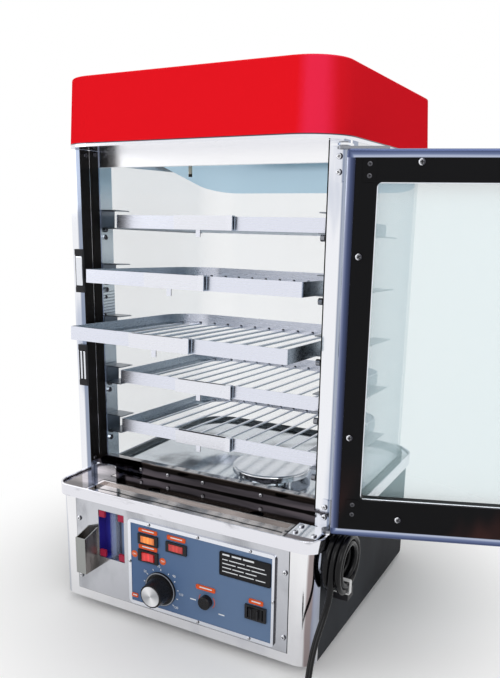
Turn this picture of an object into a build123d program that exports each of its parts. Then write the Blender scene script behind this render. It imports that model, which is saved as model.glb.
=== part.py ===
"""Food steamer display case: a glass cabinet with five pull-out racks over a steam base.

The frame's origin is the middle of the base on the table, with +X to the right,
+Y to the back and +Z up. The door stands open and two racks are drawn out.
"""

import os
from math import cos, pi, radians, sin, tan

from build123d import *

os.makedirs("parts", exist_ok=True)

# Stock and clearances
sheet = 1.2
seam = 0.3
pin_play = 0.05
screw_play = 0.2

# Base: band, housing and feet
band_width = 366
band_depth = 387
band_height = 15
band_front_radius = 21.4
band_rear_radius = 50
hem_width = 2.4
hem_height = 2
flange_width = 15
side_overhang = 4.5
end_overhang = 3
housing_height = 138
housing_front_radius = 20.5
housing_rear_radius = 47
wrap_return = 20.5
pan_flange = 18
foot_height = 12
foot_radius = 15
foot_tip_radius = 13
foot_side_inset = 38.5
foot_end_inset = 43.5

# Deck, threshold and drip tray
deck_drop = 3.5
ledge_depth = 46
threshold_depth = 35.5
tray_gap = 1
tray_side_inset = 38
tray_rim = 4
tray_dish = 3
notch_radius = 9
notch_x = (-60, 86)
sill_height = 19.5
sill_return = 9

# Water tank and steam outlet
tank_side_inset = 58
tank_depth = 190
tank_height = 60
tank_y = 20
tank_flange = 10
element_radius = 4
element_lift = 14
dome_x = 43.5
dome_y = -21.3
dome_radius = 52
dome_side = 8
dome_lift = 8.5
dome_edge_radius = 3
dome_leg_radius = 2.5
dome_leg_circle = 42
outlet_radius = 28
outlet_rise = 4
outlet_drop = 12
outlet_flange = 8

# Cabinet
cabinet_inset = 7
post_width = 16
post_depth = 36.3
cabinet_height = 413
glass_inset = 5
glass_thickness = 4
glass_back_margin = 11.5
glass_corner_radius = 50
upright_width = 23
header_height = 18.8
header_setback = 35.5
header_return = 12
top_band_height = 14.5
seal_thickness = 1.5
seal_front_width = 15.4
seal_rear_width = 13
seal_gap = 3.8

# Hood and ceiling
hood_overhang = 1
hood_front_overhang = 26.5
hood_back_overhang = 4.5
hood_lip = 4.5
hood_height = 72
hood_wall = 2.5
hood_inset = 4.6
hood_corner_radius = 50
hood_edge_radius = 2.4
ceiling_bend_y = 3
ceiling_fall = 41.5
probe_x = -90
probe_y = -11.5
probe_length = 25

# Racks
rack_count = 5
rack_low_rise = 71.5
rack_pitch = 66.5
rack_tilt = 2.5
rack_side_gap = 17
rack_back_gap = 33.5
rack_height = 16
rack_wall = 1.5
rack_setback = 44
rack_front_radius = 4
rack_rear_radius = 50
rack_drawn = {2: 62, 3: 93}
rod_radius = 1.5
rod_lift = 0.5
rod_count = 13
rod_margin = 11
bracket_length = 26
runner_margin = 43
runner_reach = 24
runner_play = 0.3
bracket_headroom = 4.5
pull_x = -51
pull_length = 80
pull_depth = 7
clip_width = 7
tab_x = -21
tab_width = 6
tab_length = 8

# Door
door_gap = 4.5
door_rise = 6
door_headroom = 10.8
door_thickness = 22
door_wall = 2.5
door_lip = 8.25
door_outer_trim = 24
door_corner_radius = 3
door_edge_radius = 2
liner_thickness = 2
liner_side = 29.5
liner_top = 30.5
liner_bottom = 41.8
liner_web = 4
liner_corner_radius = 6
door_glass_thickness = 5
door_turn = 200.46
pin_beyond_edge = 3.57
pin_depth = 8.8
pin_radius = 3
pin_head_radius = 4.5
pin_head = 1.6
hinge_plate = 2
lug_radius = 6
foot_plate_width = 34
strap_width = 11
strap_thickness = 1.5
top_strap_length = 36
bottom_strap_length = 33
handle_length = 120
handle_radius = 5
handle_reach = 28
handle_inset = 12

# Front panel and controls
panel_side_inset = 28.5
panel_rise = 12.4
panel_height = 124.6
window_inset = 35.5
window_width = 39.9
window_low = 76.5
window_high = 140
window_depth = 16
gauge_radius = 6
gauge_wall = 1.5
chute_inset = 18.5
chute_width = 15
chute_reach = 24.5
chute_low = 61
chute_front_height = 47
chute_back_height = 54
bezel_inset = 15.4
bezel_gap = 7.6
bezel_low = 27
bezel_high = 140
bezel_ring = 4.5
bezel_thickness = 2.2
bezel_corner_radius = 6
plate_thickness = 1.5
dial_inset = 48
dial_z = 58
dial_skirt_radius = 21.5
dial_body_radius = 17.5
dial_nose_radius = 14.5
dial_length = 22
dial_cap_radius = 12.5
dial_cap_thickness = 1.6
knob_inset = 113
knob_z = 60
knob_radius = 8
knob_length = 8
shaft_radius = 3
knob_shaft_radius = 1.5
rocker_turn = 7

# Fixings
screw_head_radius = 3.2
screw_head = 1.2
screw_radius = 1.5
screw_length = 5

# Mains lead
lead_diameter = 7
hank_y = -150
hank_z = 129
hank_radius = 34
hank_layers = 3
hank_gap = 5.5
gland_drop = 51
gland_height = 14
gland_width = 17
relief_length = 20
relief_radius = 6
relief_tip_radius = 4.2


# Heights and places that follow from them
housing_low = foot_height
band_low = housing_low + housing_height
band_top = band_low + band_height
deck_top = band_top - deck_drop
flange_top = band_low + sheet
housing_half = band_width / 2 - side_overhang
cabinet_half = band_width / 2 - cabinet_inset
foot_x = housing_half - foot_side_inset
foot_y = band_depth / 2 - foot_end_inset
tray_half = cabinet_half - tray_side_inset
tank_width = band_width - 2 * tank_side_inset
housing_front = -band_depth / 2 + end_overhang
housing_back = -housing_front
wrap_end = housing_front + wrap_return
deck_inset = hem_width + seam
post_front = -band_depth / 2 + ledge_depth
threshold_back = post_front + threshold_depth
cabinet_top = deck_top + cabinet_height
post_inner = cabinet_half - post_width
post_back = post_front + post_depth
glass_half = cabinet_half - glass_inset
glass_front = post_back + 0.2
glass_back = band_depth / 2 - glass_back_margin
hood_low = cabinet_top + hood_lip
hood_half = cabinet_half + hood_overhang
hood_front = post_front - hood_front_overhang
hood_back = band_depth / 2 + hood_back_overhang
rack_home = post_front + rack_setback
rack_half = post_inner - rack_side_gap
rack_depth = glass_back - glass_thickness - rack_back_gap - rack_home
rod_pitch = 2 * (rack_half - rod_margin) / (rod_count - 1)
runner_length = rack_depth - runner_margin
door_width = 2 * cabinet_half
door_low = deck_top + door_rise
door_top = cabinet_top - door_headroom
door_height = door_top - door_low
pin_x = cabinet_half + pin_beyond_edge
pin_y = post_front - door_gap - pin_depth
panel_face = housing_front
panel_half = housing_half - panel_side_inset
window_left = window_inset - panel_half
window_right = window_left + window_width
chute_left = chute_inset - panel_half
bezel_left = window_right + bezel_gap
bezel_right = panel_half - bezel_inset
dial_x = bezel_left + dial_inset
knob_x = bezel_left + knob_inset
hank_x = housing_half + hank_gap
plate_face = panel_face - plate_thickness


def plan(half_width, front, back, front_radius, rear_radius):
    """A rectangle seen from above, with its own radius at the front and rear corners."""
    with BuildSketch(mode=Mode.PRIVATE) as outline:
        with Locations((0, (front + back) / 2)):
            Rectangle(2 * half_width, back - front)
        if front_radius:
            fillet(outline.vertices().group_by(Axis.Y)[0], front_radius)
        fillet(outline.vertices().group_by(Axis.Y)[-1], rear_radius)
    return outline.sketch_local


def band_plan(inset=0):
    """The band's outline, moved inwards by inset."""
    return plan(
        band_width / 2 - inset,
        -band_depth / 2 + inset,
        band_depth / 2 - inset,
        band_front_radius - inset,
        band_rear_radius - inset,
    )


def housing_plan(inset=0):
    """The lower housing's outline, moved inwards by inset."""
    return plan(
        housing_half - inset,
        housing_front + inset,
        housing_back - inset,
        housing_front_radius - inset,
        housing_rear_radius - inset,
    )


def glass_plan(inset=0):
    """The glass surround's outline, open to the front, moved inwards by inset."""
    return plan(
        glass_half - inset,
        glass_front,
        glass_back - inset,
        0,
        glass_corner_radius - inset,
    )


def strip(left, right, front, back):
    """A plain rectangle between two X and two Y values."""
    with BuildSketch(mode=Mode.PRIVATE) as outline:
        with Locations(((left + right) / 2, (front + back) / 2)):
            Rectangle(right - left, back - front)
    return outline.sketch_local


def front_plane(y):
    """A plane that faces the front, with its X to the right and its Y up."""
    return Plane(origin=(0, y, 0), x_dir=(1, 0, 0), z_dir=(0, -1, 0))


# Four rubber feet
with BuildPart() as rubber_feet:
    with GridLocations(2 * foot_x, 2 * foot_y, 2, 2):
        Cone(
            foot_tip_radius,
            foot_radius,
            foot_height,
            align=(Align.CENTER, Align.CENTER, Align.MIN),
        )
rubber_feet.part.label = "rubber_feet"
export_step(rubber_feet.part, "parts/rubber_feet.step")

# Bottom pan, with its upturned flange inside the wraps
with BuildPart() as bottom_pan:
    with BuildSketch(Plane.XY.offset(housing_low)):
        add(housing_plan(sheet))
    extrude(amount=pan_flange)
    with BuildSketch(Plane.XY.offset(housing_low + sheet)):
        add(housing_plan(2 * sheet))
    extrude(amount=pan_flange, mode=Mode.SUBTRACT)
bottom_pan.part.label = "bottom_pan"
export_step(bottom_pan.part, "parts/bottom_pan.step")

# Polished front wrap with its rounded corners and the panel's opening
panel_low = housing_low + panel_rise
panel_high = panel_low + panel_height
panel_flange = 10
with BuildPart() as front_wrap:
    with BuildSketch(Plane.XY.offset(housing_low)):
        add(housing_plan())
        add(housing_plan(sheet), mode=Mode.SUBTRACT)
        add(
            strip(-housing_half, housing_half, housing_front, wrap_end),
            mode=Mode.INTERSECT,
        )
    extrude(amount=housing_height)
    with BuildSketch(front_plane(panel_face + sheet)):
        with Locations((0, (panel_low - seam + band_low) / 2)):
            Rectangle(2 * (panel_half + seam), band_low - panel_low + seam)
    extrude(amount=sheet, mode=Mode.SUBTRACT)
    with BuildSketch(Plane.XY.offset(housing_low + pan_flange + seam)):
        for side in (-1, 1):
            with Locations((side * panel_half, panel_face + 1.5 * sheet)):
                Rectangle(2 * panel_flange, sheet)
    extrude(amount=housing_height - pan_flange - seam)
front_wrap.part.label = "front_wrap"
export_step(front_wrap.part, "parts/front_wrap.step")

# Dark side and rear wrap with its vent slots
vent_width = 50
vent_height = 4
vent_pitch = 10
vent_rows = 5
gland_y = hank_y + hank_radius - lead_diameter / 2
gland_z = hank_z - gland_drop
gland_bore = 6
with BuildPart() as rear_wrap:
    with BuildSketch(Plane.XY.offset(housing_low)):
        add(housing_plan())
        add(housing_plan(sheet), mode=Mode.SUBTRACT)
        add(
            strip(-housing_half, housing_half, wrap_end + seam, housing_back),
            mode=Mode.INTERSECT,
        )
    extrude(amount=housing_height)
    with BuildSketch(Plane.XZ.offset(-housing_back)):
        with Locations((0, housing_low + housing_height / 2)):
            with GridLocations(1.6 * vent_width, vent_pitch, 3, vent_rows):
                SlotOverall(vent_width, vent_height)
    extrude(amount=2 * sheet, mode=Mode.SUBTRACT)
    with BuildSketch(Plane.YZ.offset(housing_half - 2 * sheet)):
        with Locations((gland_y, gland_z)):
            Circle(gland_bore + screw_play)
    extrude(amount=3 * sheet, mode=Mode.SUBTRACT)
rear_wrap.part.label = "rear_wrap"
export_step(rear_wrap.part, "parts/rear_wrap.step")

# Base band with its rolled hem and the flange that the deck rests on
with BuildPart() as base_band:
    with BuildSketch(Plane.XY.offset(band_low)):
        add(band_plan())
        add(band_plan(flange_width), mode=Mode.SUBTRACT)
    extrude(amount=sheet)
    with BuildSketch(Plane.XY.offset(band_low)):
        add(band_plan())
        add(band_plan(sheet), mode=Mode.SUBTRACT)
    extrude(amount=band_height)
    with BuildSketch(Plane.XY.offset(band_top - hem_height)):
        add(band_plan())
        add(band_plan(hem_width), mode=Mode.SUBTRACT)
    extrude(amount=hem_height)
    fillet(base_band.edges().group_by(Axis.Z)[-1], hem_height / 2.5)
base_band.part.label = "base_band"
export_step(base_band.part, "parts/base_band.step")

# Deck inside the cabinet, folded down all round on to the band's flange, with the
# steam outlet's pipe and flange
with BuildPart() as deck_plate:
    with BuildSketch(Plane.XY.offset(flange_top)):
        add(band_plan(deck_inset))
        add(
            strip(-band_width, band_width, threshold_back + seam, band_depth),
            mode=Mode.INTERSECT,
        )
    extrude(amount=deck_top - flange_top)
    with BuildSketch(Plane.XY.offset(flange_top)):
        add(band_plan(deck_inset + sheet))
        add(
            strip(-band_width, band_width, threshold_back + seam + sheet, band_depth),
            mode=Mode.INTERSECT,
        )
    extrude(amount=deck_top - flange_top - sheet, mode=Mode.SUBTRACT)
    with BuildSketch(Plane.XY.offset(deck_top)):
        with Locations((dome_x, dome_y)):
            Circle(outlet_radius + outlet_flange)
    extrude(amount=sheet)
    with BuildSketch(Plane.XY.offset(deck_top - outlet_drop)):
        with Locations((dome_x, dome_y)):
            Circle(outlet_radius + sheet)
    extrude(amount=outlet_drop + outlet_rise)
    with BuildSketch(Plane.XY.offset(deck_top - outlet_drop)):
        with Locations((dome_x, dome_y)):
            Circle(outlet_radius)
    extrude(amount=outlet_drop + outlet_rise, mode=Mode.SUBTRACT)
deck_plate.part.label = "deck_plate"
export_step(deck_plate.part, "parts/deck_plate.step")

# Threshold plate: a folded strip with two finger notches, and a corner either side of the tray
deck_half = band_width / 2 - deck_inset
tray_back = post_front - tray_gap
with BuildPart() as threshold_plate:
    with BuildSketch(Plane.XY.offset(flange_top)):
        add(strip(-deck_half, deck_half, post_front, threshold_back))
    extrude(amount=deck_top - flange_top)
    with BuildSketch(Plane.XY.offset(flange_top)):
        add(
            strip(
                -deck_half + sheet,
                deck_half - sheet,
                post_front + sheet,
                threshold_back - sheet,
            )
        )
    extrude(amount=deck_top - flange_top - sheet, mode=Mode.SUBTRACT)
    with BuildSketch(Plane.XY.offset(flange_top)):
        with Locations([(x, post_front) for x in notch_x]):
            Circle(notch_radius)
    extrude(amount=deck_top - flange_top, mode=Mode.SUBTRACT)
    with BuildSketch(Plane.XY.offset(flange_top)):
        add(band_plan(deck_inset))
        add(strip(-band_width, band_width, -band_depth, post_front), mode=Mode.INTERSECT)
        add(
            strip(-tray_half - tray_gap, tray_half + tray_gap, -band_depth, post_front),
            mode=Mode.SUBTRACT,
        )
    extrude(amount=deck_top - flange_top)
threshold_plate.part.label = "threshold_plate"
export_step(threshold_plate.part, "parts/threshold_plate.step")

# Lift-out drip tray, a shallow dish on folded feet
tray_front = -band_depth / 2 + deck_inset
with BuildPart() as drip_tray:
    with BuildSketch(Plane.XY.offset(flange_top)):
        add(strip(-tray_half, tray_half, tray_front, tray_back))
    extrude(amount=deck_top - flange_top)
    with BuildSketch(Plane.XY.offset(flange_top)):
        add(
            strip(
                -tray_half + sheet,
                tray_half - sheet,
                tray_front + sheet,
                tray_back - sheet,
            )
        )
    extrude(amount=deck_top - flange_top - tray_dish - sheet, mode=Mode.SUBTRACT)
    with BuildSketch(Plane.XY.offset(deck_top - tray_dish)):
        add(
            strip(
                -tray_half + tray_rim,
                tray_half - tray_rim,
                tray_front + tray_rim,
                tray_back - tray_rim,
            )
        )
    extrude(amount=tray_dish, mode=Mode.SUBTRACT)
drip_tray.part.label = "drip_tray"
export_step(drip_tray.part, "parts/drip_tray.step")

# Sill across the front of the deck, a channel that opens to the back
sill_half = post_inner - seam
with BuildPart() as sill_rail:
    with BuildSketch(Plane.XY.offset(deck_top)):
        add(strip(-sill_half, sill_half, threshold_back, threshold_back + sill_return))
    extrude(amount=sill_height)
    with BuildSketch(Plane.XY.offset(deck_top + sheet)):
        add(
            strip(
                -sill_half,
                sill_half,
                threshold_back + sheet,
                threshold_back + sill_return,
            )
        )
    extrude(amount=sill_height - 2 * sheet, mode=Mode.SUBTRACT)
sill_rail.part.label = "sill_rail"
export_step(sill_rail.part, "parts/sill_rail.step")

# Water tank hung under the deck by its flange
deck_under = deck_top - sheet
with BuildPart() as water_tank:
    with BuildSketch(Plane.XY.offset(deck_under - tank_height)):
        with Locations((0, tank_y)):
            Rectangle(tank_width, tank_depth)
    extrude(amount=tank_height)
    with BuildSketch(Plane.XY.offset(deck_under - sheet)):
        with Locations((0, tank_y)):
            Rectangle(tank_width + 2 * tank_flange, tank_depth + 2 * tank_flange)
    extrude(amount=sheet)
    with BuildSketch(Plane.XY.offset(deck_under - tank_height + sheet)):
        with Locations((0, tank_y)):
            Rectangle(tank_width - 2 * sheet, tank_depth - 2 * sheet)
    extrude(amount=tank_height, mode=Mode.SUBTRACT)
water_tank.part.label = "water_tank"
export_step(water_tank.part, "parts/water_tank.step")

# Heating element, a hairpin loop that stands off the tank's front wall on a plate
tank_front_inner = tank_y - tank_depth / 2 + sheet
element_z = deck_under - tank_height + element_lift
element_spread = 60
element_reach = 140
element_plate = 3
with BuildPart() as heating_element:
    with BuildLine(Plane.XY.offset(element_z)):
        FilletPolyline(
            (-element_spread / 2, tank_front_inner + element_plate),
            (-element_spread / 2, tank_front_inner + element_reach),
            (element_spread / 2, tank_front_inner + element_reach),
            (element_spread / 2, tank_front_inner + element_plate),
            radius=element_spread / 2 - 2,
        )
    with BuildSketch(
        Plane(
            origin=(-element_spread / 2, tank_front_inner + element_plate, element_z),
            z_dir=(0, 1, 0),
        )
    ):
        Circle(element_radius)
    sweep()
    with BuildSketch(front_plane(tank_front_inner + element_plate)):
        with Locations((0, element_z)):
            SlotCenterToCenter(element_spread, 4 * element_radius)
    extrude(amount=element_plate)
heating_element.part.label = "heating_element"
export_step(heating_element.part, "parts/heating_element.step")

# Steam dome, a shallow cap on three legs over the outlet
dome_top = deck_top + dome_lift + dome_side
with BuildPart() as steam_dome:
    with BuildSketch(Plane.XY.offset(dome_top - dome_side)):
        with Locations((dome_x, dome_y)):
            Circle(dome_radius)
    extrude(amount=dome_side)
    fillet(steam_dome.edges().group_by(Axis.Z)[-1], dome_edge_radius)
    with BuildSketch(Plane.XY.offset(dome_top - dome_side)):
        with Locations((dome_x, dome_y)):
            Circle(dome_radius - 2 * sheet)
    extrude(amount=dome_side - 2 * sheet, mode=Mode.SUBTRACT)
    with BuildSketch(Plane.XY.offset(deck_top)):
        with Locations((dome_x, dome_y)):
            with PolarLocations(dome_leg_circle, 3, start_angle=90):
                Circle(dome_leg_radius)
    extrude(amount=dome_lift + dome_side - sheet)
steam_dome.part.label = "steam_dome"
export_step(steam_dome.part, "parts/steam_dome.step")


def post_profile(side):
    """A folded channel that opens to the back, on the left or right of the doorway."""
    outer, inner = side * cabinet_half, side * post_inner
    left, right = min(outer, inner), max(outer, inner)
    with BuildSketch(mode=Mode.PRIVATE) as profile:
        add(strip(left, right, post_front, post_back))
        add(
            strip(left + sheet, right - sheet, post_front + sheet, post_back),
            mode=Mode.SUBTRACT,
        )
    return profile.sketch_local


# Doorway posts on the threshold, with an angle in the left one's lower corner
angle_width = 36
angle_height = 19
angle_leg = 22
angle_corner_radius = 4
angle_y = post_front + 6.3
with BuildPart() as door_posts:
    with BuildSketch(Plane.XY.offset(deck_top)):
        for side in (-1, 1):
            add(post_profile(side))
    extrude(amount=cabinet_height)
    with BuildSketch(front_plane(angle_y + sheet)) as angle_face:
        with Locations((-post_inner + angle_width / 2, deck_top + angle_height / 2)):
            Rectangle(angle_width, angle_height)
        fillet(angle_face.vertices().group_by(Axis.Y)[-1].sort_by(Axis.X)[-1], angle_corner_radius)
    extrude(amount=sheet)
door_posts.part.label = "door_posts"
export_step(door_posts.part, "parts/door_posts.step")

# Header behind the top of the doorway, folded back along its lower edge
header_y = post_front + header_setback
header_half = post_inner - seam
header_low = cabinet_top - header_height
with BuildPart() as header_rail:
    with BuildSketch(Plane.XY.offset(header_low)):
        add(strip(-header_half, header_half, header_y, header_y + header_return))
    extrude(amount=header_height)
    with BuildSketch(Plane.XY.offset(header_low + sheet)):
        add(strip(-header_half, header_half, header_y + sheet, header_y + header_return))
    extrude(amount=header_height, mode=Mode.SUBTRACT)
header_rail.part.label = "header_rail"
export_step(header_rail.part, "parts/header_rail.step")

# Flat uprights that the rack brackets are fixed to, behind the posts
with BuildPart() as uprights:
    with BuildSketch(Plane.XY.offset(deck_top)):
        for side in (-1, 1):
            left = min(side * post_inner, side * (post_inner + sheet))
            add(strip(left, left + sheet, glass_front, glass_front + upright_width))
    extrude(amount=cabinet_height)
uprights.part.label = "uprights"
export_step(uprights.part, "parts/uprights.step")

# Bent glass round both sides and the back
with BuildPart() as glass_surround:
    with BuildSketch(Plane.XY.offset(deck_top)):
        add(glass_plan())
        add(glass_plan(glass_thickness), mode=Mode.SUBTRACT)
    extrude(amount=cabinet_height)
glass_surround.part.label = "glass_surround"
export_step(glass_surround.part, "parts/glass_surround.step")

# Rubber: a strip along the foot of the glass and seal strips on both posts' inner faces
glass_seal_width = 3
glass_seal_height = 6
seal_low = deck_top + angle_height + 2
with BuildPart() as rubber_seals:
    with BuildSketch(Plane.XY.offset(deck_top)):
        add(glass_plan(-glass_seal_width))
        add(glass_plan(), mode=Mode.SUBTRACT)
    extrude(amount=glass_seal_height)
    with BuildSketch(Plane.XY.offset(seal_low)):
        for side in (-1, 1):
            left = min(side * post_inner, side * (post_inner - seal_thickness))
            right = left + seal_thickness
            front = post_front + seam
            middle = front + seal_front_width + seal_gap
            add(strip(left, right, front, front + seal_front_width))
            add(strip(left, right, middle, middle + seal_rear_width))
    extrude(amount=cabinet_top - seal_low - seam)
rubber_seals.part.label = "rubber_seals"
export_step(rubber_seals.part, "parts/rubber_seals.step")

# Folded band round the top of the glass
with BuildPart() as top_frame:
    with BuildSketch(Plane.XY.offset(cabinet_top - top_band_height)):
        add(glass_plan(-glass_inset))
        add(glass_plan(-glass_inset + sheet), mode=Mode.SUBTRACT)
    extrude(amount=top_band_height)
    with BuildSketch(Plane.XY.offset(cabinet_top - sheet)):
        add(glass_plan(-glass_inset))
        add(glass_plan(), mode=Mode.SUBTRACT)
    extrude(amount=sheet)
top_frame.part.label = "top_frame"
export_step(top_frame.part, "parts/top_frame.step")


def hood_plan(inset=0):
    """The hood's outline, moved inwards by inset."""
    return plan(
        hood_half - inset,
        hood_front + inset,
        hood_back - inset,
        hood_corner_radius - inset,
        hood_corner_radius - inset,
    )


# Hood base, a shallow pan that closes the cabinet and carries the hood
with BuildPart() as hood_base:
    with BuildSketch(Plane.XY.offset(cabinet_top)):
        add(hood_plan())
    extrude(amount=hood_lip)
    with BuildSketch(Plane.XY.offset(cabinet_top + sheet)):
        add(hood_plan(sheet))
    extrude(amount=hood_lip, mode=Mode.SUBTRACT)
hood_base.part.label = "hood_base"
export_step(hood_base.part, "parts/hood_base.step")

# Red hood, a drafted shell that is open below
with BuildPart() as hood:
    with BuildSketch(Plane.XY.offset(hood_low)):
        add(hood_plan())
    with BuildSketch(Plane.XY.offset(hood_low + hood_height)):
        add(hood_plan(hood_inset))
    loft()
    fillet(hood.edges().group_by(Axis.Z)[-1], hood_edge_radius)
    with BuildSketch(Plane.XY.offset(hood_low)):
        add(hood_plan(hood_wall))
    with BuildSketch(Plane.XY.offset(hood_low + hood_height - hood_wall)):
        add(hood_plan(hood_inset + hood_wall))
    loft(mode=Mode.SUBTRACT)
hood.part.label = "hood"
export_step(hood.part, "parts/hood.step")

# Ceiling sheet, flat in front and sloping down to the back wall
ceiling_inset = glass_thickness + seam
ceiling_front = header_y + header_return + seam
with BuildPart() as ceiling_plate:
    with BuildSketch(Plane.YZ):
        with BuildLine():
            Polyline(
                (ceiling_front, cabinet_top),
                (ceiling_bend_y, cabinet_top),
                (glass_back, cabinet_top - ceiling_fall),
                (glass_back, cabinet_top - ceiling_fall - sheet),
                (ceiling_bend_y, cabinet_top - sheet),
                (ceiling_front, cabinet_top - sheet),
                close=True,
            )
        make_face()
    extrude(amount=glass_half, both=True)
    with BuildSketch(Plane.XY.offset(cabinet_top - cabinet_height / 2)):
        add(glass_plan(ceiling_inset))
        add(
            strip(-sill_half, sill_half, glass_front, glass_front + upright_width + seam),
            mode=Mode.INTERSECT,
        )
        add(
            strip(-glass_half, glass_half, glass_front + upright_width + seam, glass_back)
            & glass_plan(ceiling_inset)
        )
    extrude(amount=cabinet_height, mode=Mode.INTERSECT)
ceiling_plate.part.label = "ceiling_plate"
export_step(ceiling_plate.part, "parts/ceiling_plate.step")

# Temperature probe under the ceiling, a stem with a nut and a dark tip
with BuildPart() as probe_stem:
    with BuildSketch(Plane.XY.offset(cabinet_top - sheet - probe_length)):
        with Locations((probe_x, probe_y)):
            Circle(2.5)
    extrude(amount=probe_length)
    with BuildSketch(Plane.XY.offset(cabinet_top - sheet - 4)):
        with Locations((probe_x, probe_y)):
            RegularPolygon(5, 6)
    extrude(amount=4)
probe_stem.part.label = "probe_stem"
export_step(probe_stem.part, "parts/probe_stem.step")


def rack_plane(top, drawn, down=0):
    """A rack's own plane: it tilts down to the back and slides along its tilt."""
    tilt = radians(rack_tilt)
    origin = (0, rack_home - drawn * cos(tilt), top + drawn * sin(tilt))
    return Plane(origin=origin, x_dir=(1, 0, 0), z_dir=(0, sin(tilt), cos(tilt))).offset(-down)


def rack_side(top, drawn, x):
    """The rack's section plane at x, with its X to the back and its Y up."""
    base = rack_plane(top, drawn)
    return Plane(origin=base.origin + Vector(x, 0, 0), x_dir=base.y_dir, z_dir=(1, 0, 0))


def rack_outline(inset=0):
    """The rack seen from above, from its front edge to its rounded back."""
    with BuildSketch(mode=Mode.PRIVATE) as outline:
        with Locations((0, rack_depth / 2)):
            Rectangle(2 * (rack_half - inset), rack_depth - 2 * inset)
        fillet(outline.vertices().group_by(Axis.Y)[0], rack_front_radius - inset)
        fillet(outline.vertices().group_by(Axis.Y)[-1], rack_rear_radius - inset)
    return outline.sketch_local


# Five pull-out racks: a band, rods from front to back, and the pull on the front
rack_tops = [
    deck_top + rack_low_rise + rack_pitch * (rack_count - number)
    for number in range(1, rack_count + 1)
]
for number, top in enumerate(rack_tops, start=1):
    drawn = rack_drawn.get(number, 0)
    rods = rack_plane(top, drawn, rack_height - rod_radius - rod_lift)
    with BuildPart() as rack:
        with BuildSketch(Plane(origin=rods.origin, x_dir=(1, 0, 0), z_dir=rods.y_dir)):
            with GridLocations(rod_pitch, 1, rod_count, 1):
                Circle(rod_radius)
        extrude(amount=rack_depth)
        with BuildSketch(rack_plane(top, drawn, rack_height)):
            add(rack_outline(rack_wall / 2))
        extrude(amount=rack_height, mode=Mode.INTERSECT)
        with BuildSketch(rack_plane(top, drawn, rack_height)):
            add(rack_outline())
            add(rack_outline(rack_wall), mode=Mode.SUBTRACT)
        extrude(amount=rack_height)
        with BuildSketch(rack_side(top, drawn, pull_x)):
            with BuildLine():
                Polyline(
                    (0, -rack_height),
                    (-pull_depth + 1.5, -rack_height),
                    (-pull_depth, 0.5),
                    (-pull_depth + 1, 0.5),
                    (-pull_depth + 2.4, -rack_height + 1),
                    (0, -rack_height + 1),
                    close=True,
                )
            make_face()
        extrude(amount=pull_length)
        with BuildSketch(rack_side(top, drawn, pull_x + pull_length - clip_width)):
            with Locations((-pull_depth / 2, -rack_height / 2 + 0.5)):
                Rectangle(pull_depth, rack_height + 1)
                Rectangle(pull_depth - 2 * sheet, rack_height + 1 - 2 * sheet, mode=Mode.SUBTRACT)
        extrude(amount=clip_width)
        with BuildSketch(rack_side(top, drawn, tab_x)):
            with Locations((-pull_depth / 2, -rack_height - tab_length / 2 + 0.5)):
                Rectangle(sheet, tab_length + 1)
        extrude(amount=tab_width)
    rack.part.label = f"rack_{number}"
    export_step(rack.part, f"parts/rack_{number}.step")

# Channel brackets on the uprights, with the runners that the racks slide on
bracket_low = rack_height + runner_play
bracket_front = glass_front - rack_home
with BuildPart() as rack_brackets:
    for top in rack_tops:
        for side in (-1, 1):
            outer = side * post_inner
            left = min(outer, outer - side * runner_reach)
            web = min(outer, outer - side * sheet)
            with BuildSketch(rack_plane(top, 0, bracket_low + sheet)):
                add(strip(left, left + runner_reach, bracket_front, bracket_front + runner_length))
            extrude(amount=sheet)
            with BuildSketch(rack_plane(top, 0, -bracket_headroom)):
                add(strip(left, left + runner_reach, bracket_front, bracket_front + bracket_length))
            extrude(amount=sheet)
            with BuildSketch(rack_plane(top, 0, bracket_low + sheet)):
                add(strip(web, web + sheet, bracket_front, bracket_front + bracket_length))
            extrude(amount=bracket_low + bracket_headroom + 2 * sheet)
rack_brackets.part.label = "rack_brackets"
export_step(rack_brackets.part, "parts/rack_brackets.step")

# The door's own frame: along its width from the hinge edge, and out through its thickness
swing = radians(door_turn - 180)
door_along = Vector(cos(swing), sin(swing), 0)
door_out = Vector(-sin(swing), cos(swing), 0)
door_corner = Vector(pin_x, pin_y, 0) + door_along * pin_beyond_edge - door_out * pin_depth
door_middle = (door_low + door_top) / 2
opening_low = door_low + liner_bottom
opening_high = door_top - liner_top


def door_face(depth):
    """A plane parallel to the door at depth behind its inner face, Y up."""
    return Plane(origin=door_corner + door_out * depth, x_dir=door_along, z_dir=-door_out)


def door_level(z):
    """A level plane whose X runs along the door and whose Y runs out through it."""
    return Plane(origin=door_corner + Vector(0, 0, z), x_dir=door_along, z_dir=(0, 0, 1))


def door_rectangle(inset, radius=0):
    """The door's outline in its own face, moved inwards by inset."""
    with BuildSketch(mode=Mode.PRIVATE) as outline:
        with Locations((door_width / 2, door_middle)):
            Rectangle(door_width - 2 * inset, door_height - 2 * inset)
        if radius:
            fillet(outline.vertices(), radius)
    return outline.sketch_local


def door_opening(margin=0):
    """The clear opening in the door's liner, widened by margin."""
    with BuildSketch(mode=Mode.PRIVATE) as outline:
        with Locations((door_width / 2, (opening_low + opening_high) / 2)):
            Rectangle(
                door_width - 2 * liner_side + 2 * margin,
                opening_high - opening_low + 2 * margin,
            )
        fillet(outline.vertices(), liner_corner_radius + margin)
    return outline.sketch_local


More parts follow.
